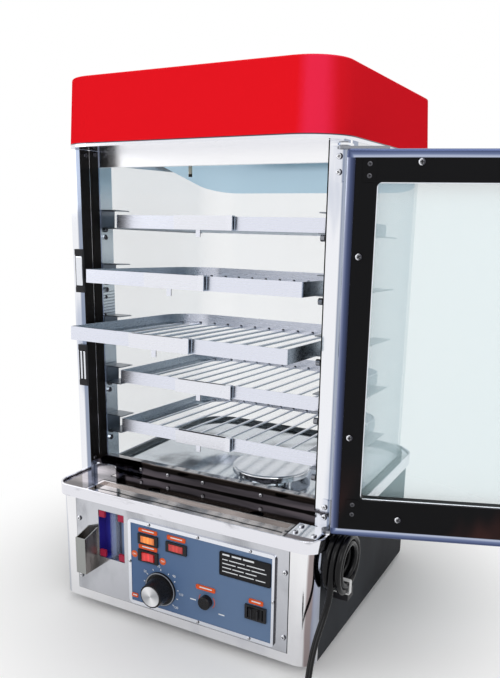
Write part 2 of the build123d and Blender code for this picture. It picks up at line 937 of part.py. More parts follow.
# Polished door frame, a hollow section with a lip inside and a wider trim outside
trim_thickness = 2
with BuildPart() as door_frame:
    with BuildSketch(door_face(door_thickness)):
        add(door_rectangle(0, door_corner_radius))
    extrude(amount=door_thickness)
    fillet(door_frame.faces().sort_by(Axis.Y)[0].outer_wire().edges(), door_edge_radius)
    with BuildSketch(door_face(door_thickness - trim_thickness)):
        add(door_rectangle(door_wall))
    extrude(amount=door_thickness - trim_thickness - liner_thickness, mode=Mode.SUBTRACT)
    with BuildSketch(door_face(liner_thickness)):
        add(door_rectangle(door_lip))
    extrude(amount=liner_thickness, mode=Mode.SUBTRACT)
    with BuildSketch(door_face(door_thickness)):
        add(door_rectangle(door_outer_trim))
    extrude(amount=trim_thickness, mode=Mode.SUBTRACT)
door_frame.part.label = "door_frame"
export_step(door_frame.part, "parts/door_frame.step")

# Door glass, seated on the outer trim
glass_seat = door_thickness - trim_thickness
with BuildPart() as door_glass:
    with BuildSketch(door_face(glass_seat)):
        add(door_rectangle(door_wall + seam))
    extrude(amount=door_glass_thickness)
door_glass.part.label = "door_glass"
export_step(door_glass.part, "parts/door_glass.step")

# Black liner that covers the frame inside, holds the glass with its web and has a
# raised key in each corner
key_width = 13
key_height = 22
key_thickness = 0.8
with BuildPart() as door_liner:
    with BuildSketch(door_face(liner_thickness)):
        add(door_rectangle(door_lip + seam))
        add(door_opening(), mode=Mode.SUBTRACT)
    extrude(amount=liner_thickness)
    with BuildSketch(door_face(glass_seat - door_glass_thickness)):
        add(door_opening(liner_web))
        add(door_opening(), mode=Mode.SUBTRACT)
    extrude(amount=glass_seat - door_glass_thickness)
    with BuildSketch(door_face(0)):
        for u in (liner_side - key_width / 2 - 1, door_width - liner_side + key_width / 2 + 1):
            with Locations((u, opening_high + key_height / 2), (u, opening_low - key_height / 2)):
                Rectangle(key_width, key_height)
    extrude(amount=key_thickness)
door_liner.part.label = "door_liner"
export_step(door_liner.part, "parts/door_liner.step")

# Domed screws through the liner
door_screw_radius = 3.6
door_screw_inset = 15.6
door_screw_row = 70
door_screw_top = 12.3
door_screw_bottom = 22.6
door_screw_heights = (110, 295)
with BuildPart() as door_screws:
    with BuildSketch(door_face(0)):
        for u in (door_screw_inset, door_width - door_screw_inset):
            with Locations([(u, door_low + height) for height in door_screw_heights]):
                Circle(door_screw_radius)
        for u in (door_screw_row, door_width - door_screw_row):
            with Locations((u, door_top - door_screw_top), (u, door_low + door_screw_bottom)):
                Circle(door_screw_radius)
    extrude(amount=2 * screw_head)
door_screws.part.label = "door_screws"
export_step(door_screws.part, "parts/door_screws.step")

# Pull handle on the outside of the door, near its free edge
handle_u = door_width - handle_inset
handle_foot = 2
with BuildPart() as door_handle:
    with BuildLine(
        Plane(
            origin=door_corner + door_along * handle_u + door_out * (door_thickness + handle_foot),
            x_dir=door_out,
            z_dir=door_along,
        )
    ) as handle_path:
        FilletPolyline(
            (0, door_middle - handle_length / 2),
            (handle_reach, door_middle - handle_length / 2),
            (handle_reach, door_middle + handle_length / 2),
            (0, door_middle + handle_length / 2),
            radius=2.5 * handle_radius,
        )
    with BuildSketch(Plane(origin=handle_path.line @ 0, z_dir=handle_path.line % 0)):
        Circle(handle_radius)
    sweep()
    with BuildSketch(door_face(door_thickness + handle_foot)):
        for side in (-1, 1):
            with Locations((handle_u, door_middle + side * handle_length / 2)):
                Circle(1.5 * handle_radius)
    extrude(amount=handle_foot)
door_handle.part.label = "door_handle"
export_step(door_handle.part, "parts/door_handle.step")

# Pivot plates on the door: one over its top edge, one as a lug on its hinge edge
pivot_thickness = 2.5
pivot_reach = 40
pivot_gap = 0.1
lug_low = door_low + pivot_gap
leaf_height = 34
leaf_thickness = 1.5
with BuildPart() as pivot_plates:
    with BuildSketch(door_level(door_top)):
        with Locations((-pin_beyond_edge, pin_depth)):
            Circle(lug_radius)
        add(strip(-pin_beyond_edge, pivot_reach, pin_depth - lug_radius, pin_depth + lug_radius))
    extrude(amount=pivot_thickness)
    with BuildSketch(door_level(lug_low)):
        with Locations((-pin_beyond_edge, pin_depth)):
            Circle(lug_radius)
        add(strip(-pin_beyond_edge, 0, pin_depth - lug_radius, pin_depth + lug_radius))
        add(strip(0, lug_radius, 0, door_thickness), mode=Mode.SUBTRACT)
    extrude(amount=pivot_thickness)
    with BuildSketch(door_level(door_low - 1)):
        with Locations((-pin_beyond_edge, pin_depth)):
            Circle(pin_radius + pin_play)
    extrude(amount=door_height + 10, mode=Mode.SUBTRACT)
    with BuildSketch(door_level(lug_low)):
        add(strip(-leaf_thickness, 0, pin_depth + pin_radius + 1, pin_depth + lug_radius))
    extrude(amount=leaf_height)
pivot_plates.part.label = "pivot_plates"
export_step(pivot_plates.part, "parts/pivot_plates.step")

# Hinge brackets on the right post, each a strap with an arm under or over the pin
strap_left = cabinet_half + 0.8 - strap_width
strap_face = post_front - strap_thickness
arm_gap = 1
top_arm_low = door_top + pivot_thickness + arm_gap
bottom_arm_low = band_top + 0.2
foot_plate_thickness = 2.5
foot_plate_left = cabinet_half - foot_plate_width
foot_plate_depth = 32
strap_round = 4


def hinge_arm():
    """The arm's outline seen from above, round the pin and back to the strap."""
    with BuildSketch(mode=Mode.PRIVATE) as outline:
        with Locations((pin_x, pin_y)):
            Circle(lug_radius)
        add(strip(strap_left, pin_x + lug_radius, pin_y, post_front))
        with Locations((pin_x, pin_y)):
            Circle(pin_radius + pin_play, mode=Mode.SUBTRACT)
        add(strip(cabinet_half + 0.8, band_width, strap_face, 0), mode=Mode.SUBTRACT)
    return outline.sketch_local


with BuildPart() as hinge_brackets:
    with BuildSketch(Plane.XY.offset(top_arm_low)):
        add(hinge_arm())
    extrude(amount=hinge_plate)
    with BuildSketch(front_plane(post_front)) as top_strap:
        with Locations((strap_left + strap_width / 2, top_arm_low + hinge_plate)):
            Rectangle(strap_width, top_strap_length, align=(Align.CENTER, Align.MAX))
        fillet(top_strap.vertices().group_by(Axis.Y)[0], strap_round)
    extrude(amount=strap_thickness)
    with BuildSketch(Plane.XY.offset(bottom_arm_low)):
        add(hinge_arm())
    extrude(amount=hinge_plate)
    with BuildSketch(front_plane(post_front)) as bottom_strap:
        with Locations((strap_left + strap_width / 2, deck_top)):
            Rectangle(
                strap_width,
                bottom_strap_length + bottom_arm_low - deck_top,
                align=(Align.CENTER, Align.MIN),
            )
        fillet(bottom_strap.vertices().group_by(Axis.Y)[-1], strap_round)
    extrude(amount=strap_thickness)
    with BuildSketch(Plane.XY.offset(deck_top)):
        add(
            strip(
                foot_plate_left,
                cabinet_half,
                tray_back - foot_plate_depth,
                tray_back,
            )
        )
    extrude(amount=foot_plate_thickness)
    with BuildSketch(Plane.XY.offset(deck_top)):
        add(strip(strap_left, cabinet_half, pin_y, post_front))
    extrude(amount=bottom_arm_low - deck_top)
hinge_brackets.part.label = "hinge_brackets"
export_step(hinge_brackets.part, "parts/hinge_brackets.step")

# Hinge pins, which turn in the arms and in the door's plates
pin_tip = 1
collar_gap = 0.1
with BuildPart() as hinge_pins:
    with BuildSketch(Plane.XY.offset(door_top + seam)):
        with Locations((pin_x, pin_y)):
            Circle(pin_radius)
    extrude(amount=top_arm_low + hinge_plate + pin_play - door_top - seam)
    with BuildSketch(Plane.XY.offset(top_arm_low + hinge_plate + pin_play)):
        with Locations((pin_x, pin_y)):
            Circle(pin_head_radius)
    extrude(amount=pin_head)
    with BuildSketch(Plane.XY.offset(door_top + pivot_thickness + collar_gap)):
        with Locations((pin_x, pin_y)):
            Circle(pin_head_radius)
    extrude(amount=arm_gap - 2 * collar_gap)
    with BuildSketch(Plane.XY.offset(band_top + collar_gap)):
        with Locations((pin_x, pin_y)):
            Circle(pin_radius)
    extrude(amount=lug_low + pivot_thickness + pin_tip - band_top - collar_gap)
hinge_pins.part.label = "hinge_pins"
export_step(hinge_pins.part, "parts/hinge_pins.step")

# Magnetic catches on the left post, with a raised block at each end
catch_left = 5 - cabinet_half
catch_width = 12.5
catch_height = 53
catch_middles = (431, 312)
catch_base = 2.6
catch_proud = 3.3
catch_end = 7
with BuildPart() as door_catches:
    with BuildSketch(front_plane(post_front)):
        with Locations([(catch_left + catch_width / 2, z) for z in catch_middles]):
            Rectangle(catch_width, catch_height)
    extrude(amount=catch_base)
    with BuildSketch(front_plane(post_front)):
        for z in catch_middles:
            for side in (-1, 1):
                with Locations((catch_left + catch_width / 2, z + side * (catch_height - catch_end) / 2)):
                    Rectangle(catch_width, catch_end)
    extrude(amount=catch_proud)
door_catches.part.label = "door_catches"
export_step(door_catches.part, "parts/door_catches.step")

# Striker plates on the door, opposite the catches
striker_thickness = 0.8
with BuildPart() as strikers:
    with BuildSketch(door_face(0)):
        with Locations([(cabinet_half - catch_left - catch_width / 2, z) for z in catch_middles]):
            Rectangle(catch_width - 2, catch_height - catch_end)
    extrude(amount=striker_thickness)
strikers.part.label = "strikers"
export_step(strikers.part, "parts/strikers.step")

# Front panel with the window, the chute's inlet and the controls' opening
bezel_margin = 9
chute_inlet_height = 30
panel_screw_x = panel_half - 5
panel_screw_z = (43, 122)
with BuildPart() as front_panel:
    with BuildSketch(front_plane(panel_face)):
        with Locations((0, (panel_low + panel_high) / 2)):
            Rectangle(2 * panel_half, panel_height)
        with Locations(((window_left + window_right) / 2, (window_low + window_high) / 2)):
            Rectangle(window_right - window_left, window_high - window_low, mode=Mode.SUBTRACT)
        with Locations(((bezel_left + bezel_right) / 2, (bezel_low + bezel_high) / 2)):
            Rectangle(
                bezel_right - bezel_left - 2 * bezel_margin,
                bezel_high - bezel_low - 2 * bezel_margin,
                mode=Mode.SUBTRACT,
            )
        with Locations((chute_left + chute_width / 2, chute_low + sheet + chute_inlet_height / 2)):
            Rectangle(chute_width - 2 * sheet, chute_inlet_height, mode=Mode.SUBTRACT)
    extrude(amount=-sheet)
front_panel.part.label = "front_panel"
export_step(front_panel.part, "parts/front_panel.step")

# Water window: a tray behind the panel with the gauge glass standing in it
tray_wall = 1.5
tray_margin = 3
window_width = window_right - window_left
window_height = window_high - window_low
window_middle = ((window_left + window_right) / 2, (window_low + window_high) / 2)
tray_face = panel_face + sheet
with BuildPart() as window_tray:
    with BuildSketch(front_plane(tray_face)):
        with Locations(window_middle):
            Rectangle(window_width + 2 * tray_margin, window_height + 2 * tray_margin)
    extrude(amount=-window_depth)
    with BuildSketch(front_plane(tray_face)):
        with Locations(window_middle):
            Rectangle(
                window_width + 2 * tray_margin - 2 * tray_wall,
                window_height + 2 * tray_margin - 2 * tray_wall,
            )
    extrude(amount=-window_depth + tray_wall, mode=Mode.SUBTRACT)
window_tray.part.label = "window_tray"
export_step(window_tray.part, "parts/window_tray.step")

with BuildPart() as gauge_glass:
    with BuildSketch(Plane.XY.offset(window_low - tray_margin + tray_wall)):
        with Locations((window_middle[0], tray_face + gauge_radius + 1)):
            Circle(gauge_radius)
            Circle(gauge_radius - gauge_wall, mode=Mode.SUBTRACT)
    extrude(amount=window_height + 2 * tray_margin - 2 * tray_wall)
gauge_glass.part.label = "gauge_glass"
export_step(gauge_glass.part, "parts/gauge_glass.step")

# Filler chute, an open-topped pocket that leads through the panel
with BuildPart() as filler_chute:
    with BuildSketch(Plane.YZ.offset(chute_left)):
        with BuildLine():
            Polyline(
                (panel_face, chute_low),
                (panel_face - chute_reach, chute_low),
                (panel_face - chute_reach, chute_low + chute_front_height),
                (panel_face, chute_low + chute_back_height),
                close=True,
            )
        make_face()
    extrude(amount=chute_width)
    with BuildSketch(Plane.YZ.offset(chute_left + sheet)):
        with Locations((panel_face - chute_reach / 2 + sheet, chute_low + sheet + chute_back_height / 2)):
            Rectangle(chute_reach, chute_back_height)
    extrude(amount=chute_width - 2 * sheet, mode=Mode.SUBTRACT)
filler_chute.part.label = "filler_chute"
export_step(filler_chute.part, "parts/filler_chute.step")

# Bezel ring round the control plate
bezel_width = bezel_right - bezel_left
bezel_height = bezel_high - bezel_low
bezel_middle = ((bezel_left + bezel_right) / 2, (bezel_low + bezel_high) / 2)
with BuildPart() as control_bezel:
    with BuildSketch(front_plane(panel_face)):
        with Locations(bezel_middle):
            RectangleRounded(bezel_width, bezel_height, bezel_corner_radius)
            Rectangle(bezel_width - 2 * bezel_ring, bezel_height - 2 * bezel_ring, mode=Mode.SUBTRACT)
    extrude(amount=bezel_thickness)
control_bezel.part.label = "control_bezel"
export_step(control_bezel.part, "parts/control_bezel.step")

# Screws of the case: on the sill, the hinge brackets, the panel's sides and the bezel
sill_screw_x = (-105, -62, -8.5, 74)
sill_screw_z = deck_top + 0.45 * sill_height
sill_screw_radius = 2.6
bezel_screw_spacing = bezel_width / 2 - 31.8
bezel_screw_x = [bezel_middle[0] + side * bezel_screw_spacing for side in (-1, 0, 1)]
bezel_screw_radius = 2
strap_middle = strap_left + strap_width / 2
with BuildPart() as case_screws:
    with BuildSketch(front_plane(threshold_back)):
        with Locations([(x, sill_screw_z) for x in sill_screw_x]):
            Circle(sill_screw_radius)
    extrude(amount=screw_head)
    with BuildSketch(front_plane(strap_face)):
        with Locations(
            (strap_middle, top_arm_low - 9),
            (strap_middle, top_arm_low - 24),
            (strap_middle, bottom_arm_low + 12),
            (strap_middle, bottom_arm_low + 24),
        ):
            Circle(screw_head_radius)
    extrude(amount=screw_head)
    with BuildSketch(Plane.XY.offset(deck_top + foot_plate_thickness)):
        with Locations(
            (foot_plate_left + 6, tray_back - 8),
            (foot_plate_left + 6, tray_back - foot_plate_depth + 7),
            (cabinet_half - 6, tray_back - foot_plate_depth + 7),
        ):
            Circle(screw_head_radius)
    extrude(amount=screw_head)
    with BuildSketch(front_plane(panel_face)):
        with Locations([(side * panel_screw_x, z) for side in (-1, 1) for z in panel_screw_z]):
            Circle(screw_head_radius)
    extrude(amount=screw_head)
    with BuildSketch(front_plane(panel_face - bezel_thickness)):
        for z in (bezel_low + bezel_ring / 2, bezel_high - bezel_ring / 2):
            with Locations([(x, z) for x in bezel_screw_x]):
                Circle(bezel_screw_radius)
        for x in (bezel_left + bezel_ring / 2, bezel_right - bezel_ring / 2):
            with Locations((x, bezel_middle[1])):
                Circle(bezel_screw_radius)
    extrude(amount=screw_head)
case_screws.part.label = "case_screws"
export_step(case_screws.part, "parts/case_screws.step")

# Places and sizes of the lamps and switches on the control plate
snap_margin = 1
lamp_x = bezel_left + 30.5
orange_lamp = (lamp_x, 118)
red_lamp = (bezel_left + 71.3, 117)
lamp_size = (29, 13)
power_place = (lamp_x, 96)
power_size = (29, 15)
light_place = (bezel_right - 23.7, 63.7)
light_size = (26.8, 17.6)

with BuildPart() as control_plate:
    with BuildSketch(front_plane(panel_face)):
        with Locations(bezel_middle):
            Rectangle(bezel_width - 2 * bezel_ring - seam, bezel_height - 2 * bezel_ring - seam)
        for place, size in (
            (orange_lamp, lamp_size),
            (red_lamp, lamp_size),
            (power_place, power_size),
            (light_place, light_size),
        ):
            with Locations(place):
                Rectangle(size[0] - 2 * snap_margin, size[1] - 2 * snap_margin, mode=Mode.SUBTRACT)
        with Locations((dial_x, dial_z), (knob_x, knob_z)):
            Circle(1.5 * shaft_radius, mode=Mode.SUBTRACT)
    extrude(amount=plate_thickness)
control_plate.part.label = "control_plate"
export_step(control_plate.part, "parts/control_plate.step")

# Indicator frames with their lenses
frame_proud = 2.5
frame_depth = 12
lens_size = (20, 8.5)
lens_proud = 0.8
with BuildPart() as lamp_frames:
    with BuildSketch(front_plane(plate_face)):
        with Locations(orange_lamp, red_lamp):
            Rectangle(*lamp_size)
    extrude(amount=frame_proud)
    with BuildSketch(front_plane(plate_face)):
        with Locations(orange_lamp, red_lamp):
            Rectangle(lamp_size[0] - 2 * snap_margin - seam, lamp_size[1] - 2 * snap_margin - seam)
    extrude(amount=-frame_depth)
    with BuildSketch(front_plane(plate_face)):
        with Locations(orange_lamp, red_lamp):
            Rectangle(*lens_size)
    extrude(amount=frame_proud, mode=Mode.SUBTRACT)
lamp_frames.part.label = "lamp_frames"
export_step(lamp_frames.part, "parts/lamp_frames.step")

with BuildPart() as orange_lens:
    with BuildSketch(front_plane(plate_face)):
        with Locations(orange_lamp):
            Rectangle(lens_size[0] - 0.2, lens_size[1] - 0.2)
    extrude(amount=frame_proud + lens_proud)
    chamfer(orange_lens.faces().sort_by(Axis.Y)[0].edges(), lens_proud / 2)
orange_lens.part.label = "orange_lens"
export_step(orange_lens.part, "parts/orange_lens.step")

with BuildPart() as red_lens:
    with BuildSketch(front_plane(plate_face)):
        with Locations(red_lamp):
            Rectangle(lens_size[0] - 0.2, lens_size[1] - 0.2)
    extrude(amount=frame_proud + lens_proud)
    chamfer(red_lens.faces().sort_by(Axis.Y)[0].edges(), lens_proud / 2)
red_lens.part.label = "red_lens"
export_step(red_lens.part, "parts/red_lens.step")

# Rocker switches: snap-in housings with a pocket, and rockers on trunnions
rocker_radius = 9.6
rocker_play = 0.6
rocker_side_play = 0.3
rocker_edge = 5.8
rocker_waist = 4.2
rocker_heights = {"power": 10.1, "light": 12.6}
rocker_places = {"power": power_place, "light": light_place}
rocker_frames = {"power": power_size, "light": light_size}
pocket_back = 12
housing_depth = 14
trunnion_radius = 1.5
trunnion_reach = 0.8
pivot_y = panel_face
with BuildPart() as switch_housings:
    for name, place in rocker_places.items():
        size = rocker_frames[name]
        with BuildSketch(front_plane(plate_face)):
            with Locations(place):
                Rectangle(*size)
        extrude(amount=frame_proud)
        with BuildSketch(front_plane(plate_face)):
            with Locations(place):
                Rectangle(size[0] - 2 * snap_margin - seam, size[1] - 2 * snap_margin - seam)
        extrude(amount=-housing_depth)
        with BuildSketch(front_plane(plate_face - frame_proud)):
            with Locations(place):
                Rectangle(
                    2 * (rocker_radius + rocker_play),
                    rocker_heights[name] + 2 * rocker_side_play,
                )
        extrude(amount=-frame_proud - pocket_back, mode=Mode.SUBTRACT)
        socket_height = rocker_heights[name] + 2 * (trunnion_reach + 2 * pin_play)
        with BuildSketch(Plane.XY.offset(place[1] - socket_height / 2)):
            with Locations((place[0], pivot_y)):
                Circle(trunnion_radius + pin_play)
        extrude(amount=socket_height, mode=Mode.SUBTRACT)
switch_housings.part.label = "switch_housings"
export_step(switch_housings.part, "parts/switch_housings.step")


def rocker_section():
    """A rocker seen along its pivot: a drum with a shallow V across its front."""
    with BuildSketch(mode=Mode.PRIVATE) as section:
        Circle(rocker_radius)
        with BuildLine():
            Polyline(
                (-rocker_radius, rocker_radius),
                (rocker_radius, rocker_radius),
                (rocker_radius, -rocker_edge),
                (0, -rocker_waist),
                (-rocker_radius, -rocker_edge),
                close=True,
            )
        make_face(mode=Mode.INTERSECT)
    return section.sketch_local


def rocker_level(place, height):
    """A level plane on a rocker's pivot, height above its middle, turned with its tilt."""
    tilt = radians(rocker_turn)
    return Plane(
        origin=(place[0], pivot_y, place[1] + height),
        x_dir=(cos(tilt), sin(tilt), 0),
        z_dir=(0, 0, 1),
    )


for name, place in rocker_places.items():
    half_height = rocker_heights[name] / 2
    with BuildPart() as rocker:
        with BuildSketch(rocker_level(place, -half_height)):
            add(rocker_section())
        extrude(amount=2 * half_height)
        with BuildSketch(rocker_level(place, -half_height - trunnion_reach)):
            Circle(trunnion_radius)
        extrude(amount=2 * (half_height + trunnion_reach))
    rocker.part.label = f"{name}_rocker"
    export_step(rocker.part, f"parts/{name}_rocker.step")

# Thermostat and timer bodies behind the plate, with the shafts that carry the knobs
thermostat_radius = 18
timer_radius = 11
body_depth = 22
shaft_reach = 13
knob_shaft_reach = 6
with BuildPart() as control_bodies:
    with BuildSketch(front_plane(panel_face)):
        with Locations((dial_x, dial_z)):
            Circle(thermostat_radius)
        with Locations((knob_x, knob_z)):
            Circle(timer_radius)
    extrude(amount=-body_depth)
    with BuildSketch(front_plane(panel_face)):
        with Locations((dial_x, dial_z)):
            Circle(shaft_radius)
    extrude(amount=plate_thickness + shaft_reach)
    with BuildSketch(front_plane(panel_face)):
        with Locations((knob_x, knob_z)):
            Circle(knob_shaft_radius)
    extrude(amount=plate_thickness + knob_shaft_reach)
control_bodies.part.label = "control_bodies"
export_step(control_bodies.part, "parts/control_bodies.step")

# Large dial: a thin skirt, a tapered body and a recess for its metal cap
dial_gap = 0.4
skirt_thickness = 2.6
cap_recess = 0.8
dial_face = plate_face - dial_gap
with BuildPart() as dial_knob:
    with BuildSketch(front_plane(dial_face)):
        with Locations((dial_x, dial_z)):
            Circle(dial_skirt_radius)
    extrude(amount=skirt_thickness)
    with BuildSketch(front_plane(dial_face)):
        with Locations((dial_x, dial_z)):
            Circle(dial_body_radius)
    with BuildSketch(front_plane(dial_face - dial_length)):
        with Locations((dial_x, dial_z)):
            Circle(dial_nose_radius)
    loft()
    with BuildSketch(front_plane(dial_face - dial_length)):
        with Locations((dial_x, dial_z)):
            Circle(dial_cap_radius + 0.1)
    extrude(amount=-cap_recess, mode=Mode.SUBTRACT)
    with BuildSketch(front_plane(dial_face)):
        with Locations((dial_x, dial_z)):
            Circle(shaft_radius + pin_play)
    extrude(amount=shaft_reach + 1, mode=Mode.SUBTRACT)
dial_knob.part.label = "dial_knob"
export_step(dial_knob.part, "parts/dial_knob.step")

with BuildPart() as dial_cap:
    with BuildSketch(front_plane(dial_face - dial_length + cap_recess)):
        with Locations((dial_x, dial_z)):
            Circle(dial_cap_radius)
    extrude(amount=dial_cap_thickness)
dial_cap.part.label = "dial_cap"
export_step(dial_cap.part, "parts/dial_cap.step")

with BuildPart() as small_knob:
    with BuildSketch(front_plane(dial_face)):
        with Locations((knob_x, knob_z)):
            Circle(knob_radius)
    extrude(amount=knob_length)
    chamfer(small_knob.edges().group_by(Axis.Y)[0], 1)
    with BuildSketch(front_plane(dial_face)):
        with Locations((knob_x, knob_z)):
            Circle(knob_shaft_radius + pin_play)
    extrude(amount=knob_shaft_reach + 1, mode=Mode.SUBTRACT)
small_knob.part.label = "small_knob"
export_step(small_knob.part, "parts/small_knob.step")

# Cable gland on the right side, with its tapered relief pointing up
relief_x = hank_x + lead_diameter / 2
relief_base = gland_z + gland_height / 2
with BuildPart() as cord_gland:
    with BuildSketch(Plane.YZ.offset(housing_half)):
        with Locations((gland_y, gland_z)):
            Rectangle(gland_width, gland_height)
    extrude(amount=relief_x + gland_width / 2 - housing_half)
    with BuildSketch(Plane.YZ.offset(housing_half)):
        with Locations((gland_y, gland_z)):
            Circle(gland_bore)
    extrude(amount=-4 * sheet)
    with BuildSketch(Plane.XY.offset(relief_base)):
        with Locations((relief_x, gland_y)):
            Circle(relief_radius)
    with BuildSketch(Plane.XY.offset(relief_base + relief_length)):
        with Locations((relief_x, gland_y)):
            Circle(relief_tip_radius)
    loft()
cord_gland.part.label = "cord_gland"
export_step(cord_gland.part, "parts/cord_gland.step")

# Hank of the lead, one ring of turns, and its tie
hank_inner = hank_radius - 2 * lead_diameter
hank_width = hank_layers * lead_diameter
with BuildPart() as cord_hank:
    with BuildSketch(Plane.YZ.offset(hank_x)):
        with Locations((hank_y, hank_z)):
            Circle(hank_radius)
            Circle(hank_inner, mode=Mode.SUBTRACT)
    extrude(amount=hank_width)
cord_hank.part.label = "cord_hank"
export_step(cord_hank.part, "parts/cord_hank.step")

tie_wall = 1.2
tie_width = 5
tie_low = hank_z - hank_radius
with BuildPart() as cord_tie:
    with BuildSketch(front_plane(hank_y - tie_width / 2)):
        with Locations((hank_x + hank_width / 2, tie_low + lead_diameter)):
            RectangleRounded(hank_width + 2 * (tie_wall + seam), 2 * (lead_diameter + tie_wall + seam), 2)
            Rectangle(hank_width + 2 * seam, 2 * (lead_diameter + seam), mode=Mode.SUBTRACT)
    extrude(amount=-tie_width)
cord_tie.part.label = "cord_tie"
export_step(cord_tie.part, "parts/cord_tie.step")

# The lead's free stretches: up from the relief into the hank, and down to the plug
hank_front = hank_y - hank_radius + lead_diameter / 2
tail_x = hank_x + 1.5 * lead_diameter
tail_low = lead_diameter / 2 + seam
tail_route = [
    Vector(tail_x, hank_front, hank_z - 6),
    Vector(tail_x, hank_front - 0.8, 106),
    Vector(tail_x - 1.5, hank_front - 6.5, 90),
    Vector(tail_x - 3, hank_front - 17, 75),
    Vector(tail_x - 3.5, hank_front - 30, 61),
    Vector(tail_x - 2, hank_front - 44, 46.5),
    Vector(tail_x + 1, hank_front - 57, 33),
    Vector(tail_x + 5, hank_front - 70, 20.5),
    Vector(tail_x + 10.5, hank_front - 84, 9),
    Vector(tail_x + 17, hank_front - 99, tail_low),
    Vector(tail_x + 24, hank_front - 115, tail_low),
]
tail_end = tail_route[-1]


def bend_radii(route):
    """The largest arc that each corner of a route has room for."""
    radii = []
    for before, here, after in zip(route, route[1:], route[2:]):
        turn = (here - before).get_angle(after - here)
        shorter = min((here - before).length, (after - here).length)
        radii.append(0.45 * shorter / tan(radians(turn / 2)))
    return radii


tail_radii = bend_radii(tail_route)
print("tail radii", [round(radius, 1) for radius in tail_radii])
with BuildPart() as lead_tail:
    with BuildLine() as tail_line:
        FilletPolyline(*tail_route, radius=tail_radii)
    with BuildSketch(Plane(origin=tail_line.line @ 0, z_dir=tail_line.line % 0)):
        Circle(lead_diameter / 2)
    sweep()
tail_length = sum(edge.length for edge in tail_line.edges())
tail_volume = tail_length * pi * (lead_diameter / 2) ** 2
print("tail length", round(tail_length, 1), "volume", round(lead_tail.part.volume / tail_volume, 4))

relief_top = relief_base + relief_length
with BuildPart() as cord_tube:
    with BuildSketch(Plane.XY.offset(relief_top)):
        with Locations((relief_x, gland_y)):
            Circle(lead_diameter / 2)
    extrude(amount=hank_z - relief_top)
    add(lead_tail.part)
cord_tube.part.label = "cord_tube"
export_step(cord_tube.part, "parts/cord_tube.step")

# Plug on the table at the lead's end
plug_direction = (tail_route[-1] - tail_route[-2]).normalized()
plug_length = 38
plug_width = 22
plug_height = 13.6
plug_corner_radius = 3
plug_taper = 15
plug_pin_length = 17
plug_pin_gap = 12.7
plug_pin_width = 6.3
plug_pin_thickness = 1.6
plug_plane = Plane(
    origin=Vector(tail_end.X, tail_end.Y, plug_height / 2),
    x_dir=(0, 0, 1),
    z_dir=plug_direction,
)
with BuildPart() as mains_plug:
    with BuildSketch(plug_plane):
        with Locations((tail_end.Z - plug_height / 2, 0)):
            Circle(lead_diameter / 2)
    with BuildSketch(plug_plane.offset(plug_taper)):
        RectangleRounded(plug_height, plug_width, plug_corner_radius)
    loft()
    with BuildSketch(plug_plane.offset(plug_taper)):
        RectangleRounded(plug_height, plug_width, plug_corner_radius)
    extrude(amount=plug_length - plug_taper)
    with BuildSketch(plug_plane.offset(plug_length)):
        with GridLocations(1, plug_pin_gap, 1, 2):
            Rectangle(plug_pin_width, plug_pin_thickness)
    extrude(amount=plug_pin_length)
mains_plug.part.label = "mains_plug"
export_step(mains_plug.part, "parts/mains_plug.step")
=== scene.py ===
# %% [markdown]
# # A food steamer display case
#
# The real object is a counter-top steam cabinet: bent glass on a polished base, a red
# hood, five wire racks and a framed glass door that stands open on the right. Its solids
# come from the CAD frame, in metres and already in place. This script gives each of them
# its finish, and adds the lead, the labels, the marks and the small fixings.

# %% Load the frame
from math import cos, pi, radians, sin

import bmesh
import bpy
from mathutils import Matrix, Vector


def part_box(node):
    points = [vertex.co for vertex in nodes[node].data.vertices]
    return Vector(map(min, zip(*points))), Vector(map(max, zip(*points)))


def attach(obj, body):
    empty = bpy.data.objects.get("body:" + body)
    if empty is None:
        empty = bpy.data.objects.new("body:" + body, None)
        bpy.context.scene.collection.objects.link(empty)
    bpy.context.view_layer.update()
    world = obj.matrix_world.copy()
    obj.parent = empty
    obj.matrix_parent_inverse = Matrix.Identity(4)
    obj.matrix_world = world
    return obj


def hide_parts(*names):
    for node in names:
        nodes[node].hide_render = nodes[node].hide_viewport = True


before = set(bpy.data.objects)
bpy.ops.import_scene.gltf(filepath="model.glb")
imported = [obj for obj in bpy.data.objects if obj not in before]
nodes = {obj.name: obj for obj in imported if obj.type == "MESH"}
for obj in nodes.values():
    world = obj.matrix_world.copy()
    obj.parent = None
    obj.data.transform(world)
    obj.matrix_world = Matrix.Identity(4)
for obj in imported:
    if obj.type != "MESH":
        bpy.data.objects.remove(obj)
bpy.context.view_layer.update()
MM = 0.001

# %% [markdown]
# The camera stands where the picture was taken from, a little right of the case and above
# its middle. Yaw, pitch and roll turn it, and the two shifts move the picture's frame without
# changing the perspective, as cropping does.

# %% Camera
camera_place = Vector((444.25, -848.42, 502.37)) * MM
camera_yaw = radians(28.813)
camera_pitch = radians(13.615)
camera_roll = radians(0.689)
ahead = Vector(
    (
        -sin(camera_yaw) * cos(camera_pitch),
        cos(camera_yaw) * cos(camera_pitch),
        -sin(camera_pitch),
    )
)
level_right = Vector((cos(camera_yaw), sin(camera_yaw), 0))
level_up = level_right.cross(ahead)
right = level_right * cos(camera_roll) + level_up * sin(camera_roll)
up = level_up * cos(camera_roll) - level_right * sin(camera_roll)

camera_data = bpy.data.cameras.new("camera")
camera_data.lens = 38.447
camera_data.sensor_width = 36
camera_data.shift_x = 0.0190
camera_data.shift_y = 0.0736
camera = bpy.data.objects.new("camera", camera_data)
camera_turn = Matrix((right, up, -ahead)).transposed().to_4x4()
camera.matrix_world = Matrix.Translation(camera_place) @ camera_turn
bpy.context.scene.collection.objects.link(camera)
bpy.context.scene.camera = camera
print("camera at", [round(value, 4) for value in camera_place])

